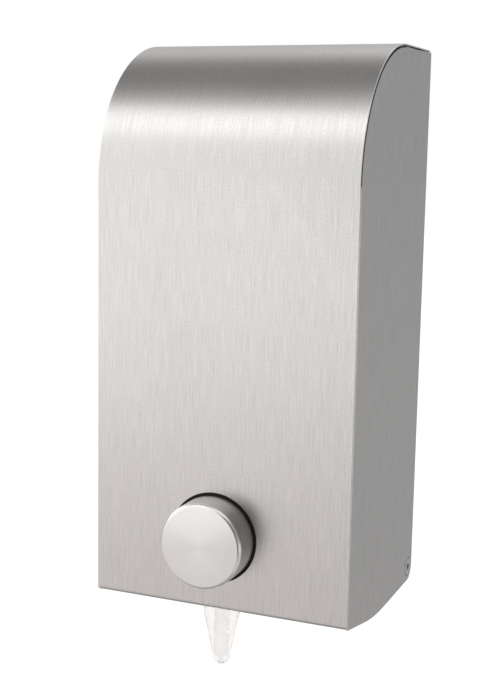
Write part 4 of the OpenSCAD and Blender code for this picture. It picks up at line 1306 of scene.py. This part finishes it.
def make_soft_patch():
    """Soft round patch of the surroundings: 1 about its axis, 0 past its edge, both as cosines."""
    inputs = {"Direction": None, "Axis": None, "Middle": 0.98, "Edge": 0.7}
    tree, start, end = new_group("soft_patch", inputs, ("Mask",))
    near = cosine(tree, start.outputs["Direction"], start.outputs["Axis"])
    soft = add_node(
        tree, "ShaderNodeMapRange", {"interpolation_type": "SMOOTHSTEP"},
        i0=near, i1=start.outputs["Edge"], i2=start.outputs["Middle"],
    )
    tree.links.new(soft.outputs[0], end.inputs["Mask"])
    return tree


def add_rays(tree, *kinds):
    """1 for rays of the kinds named, 0 for the others."""
    rays = tree.nodes.new("ShaderNodeLightPath")
    total = rays.outputs[kinds[0]]
    for kind in kinds[1:]:
        total = math_node(tree, "ADD", total, rays.outputs[kind])
    return math_node(tree, "MINIMUM", total, 1.0)


def make_world():
    room_light = 0.8
    world = bpy.data.worlds.new("white_room")
    scene.world = world
    world.use_nodes = True
    tree = world.node_tree
    background = tree.nodes["Background"]
    background.inputs["Color"].default_value = (1, 1, 1, 1)
    place = add_node(tree, "ShaderNodeTexCoord")
    patch = make_soft_patch()
    level = 1.0
    for azimuth, elevation, middle, edge, grey in (
        (-112, 68, 8, 42, 0.17),
        (-158, 18, 8, 31, 0.52),
        (97, 18, 18, 42, 0.12),
    ):
        mask = use_group(
            tree, patch, Direction=place.outputs["Generated"], Axis=toward(azimuth, elevation),
            Middle=math.cos(math.radians(middle)), Edge=math.cos(math.radians(edge)),
        )
        level = times(tree, level, spread(tree, mask.outputs[0], 0.0, 1.0, 1.0, grey))
    seen = add_rays(tree, "Is Camera Ray", "Is Transmission Ray")
    glossy = add_rays(tree, "Is Glossy Ray")
    plain = spread(tree, seen, 0.0, 1.0, room_light, 1.0)
    strength = add_node(tree, "ShaderNodeMix", {"data_type": "FLOAT"}, i0=glossy, i2=plain, i3=level)
    tree.links.new(strength.outputs[0], background.inputs["Strength"])


def stage_plate(name, corners, material):
    bm = bmesh.new()
    bm.faces.new([bm.verts.new(c) for c in corners])
    obj = scratch_object(bm, name)
    obj.data.materials.append(material)
    return obj


def make_floor():
    half = 12.0
    floor_z = -0.62
    near, far = 1.3, 4.0
    glow = 0.55
    material, tree, shader = start_material("pale_floor")
    place = add_node(tree, "ShaderNodeNewGeometry")
    away = add_node(tree, "ShaderNodeVectorMath", {"operation": "LENGTH"}, i0=place.outputs["Position"])
    distant = spread(tree, away.outputs["Value"], near, far)
    glossy = times(tree, add_rays(tree, "Is Glossy Ray"), distant)
    lit = math_node(tree, "MAXIMUM", add_rays(tree, "Is Camera Ray", "Is Transmission Ray"), glossy)
    fill_inputs(tree, shader, {
        "Base Color": (0.72, 0.69, 0.68, 1),
        "Roughness": 0.9,
        "Specular IOR Level": 0.0,
        "Emission Color": (1, 1, 1, 1),
        "Emission Strength": times(tree, lit, glow),
    })
    stage_plate("floor", [(sx * half, sy * half, floor_z) for sx, sy in SQUARE], material)


def add_lamp(name, place, width, height, power):
    data = bpy.data.lights.new(name, "AREA")
    data.shape = "RECTANGLE"
    data.size = width
    data.size_y = height
    data.energy = power
    lamp = bpy.data.objects.new(name, data)
    lamp.location = place
    lamp.rotation_euler = (-Vector(place)).to_track_quat("-Z", "Y").to_euler()
    scene.collection.objects.link(lamp)


def add_card(name, centre, width, height, grey):
    """A grey card seen only in reflections."""
    material, tree, shader = start_material(name)
    tree.nodes.remove(shader)
    glow = add_node(tree, "ShaderNodeEmission", Color=(grey, grey, grey, 1), Strength=1.0)
    tree.links.new(glow.outputs[0], tree.nodes["Material Output"].inputs["Surface"])
    away = -Vector(centre).normalized()
    side = Vector((0, 0, 1)).cross(away).normalized()
    up = away.cross(side)
    corners = [
        Vector(centre) + side * (sx * width / 2) + up * (sy * height / 2) for sx, sy in SQUARE
    ]
    card = stage_plate(name, corners, material)
    for ray in ("camera", "diffuse", "transmission", "shadow", "volume_scatter"):
        setattr(card, "visible_" + ray, False)


make_world()
make_floor()
add_lamp("key_softbox", toward(-33, 45) * 1.5, width=0.6, height=0.5, power=0.53)
add_lamp("left_fill", toward(-69, 16) * 1.8, width=0.8, height=0.8, power=2.6)
add_card("right_card", toward(150, -12) * 1.15, width=1.22, height=1.73, grey=0.43)
add_card("left_card", toward(-105, -8) * 1.6, width=1.9, height=1.8, grey=0.27)
add_card("camera_card", toward(26, 6) * 1.2, width=1.0, height=1.7, grey=0.03)
add_card("low_card", toward(-20, -78) * 0.55, width=0.7, height=0.5, grey=0.3)
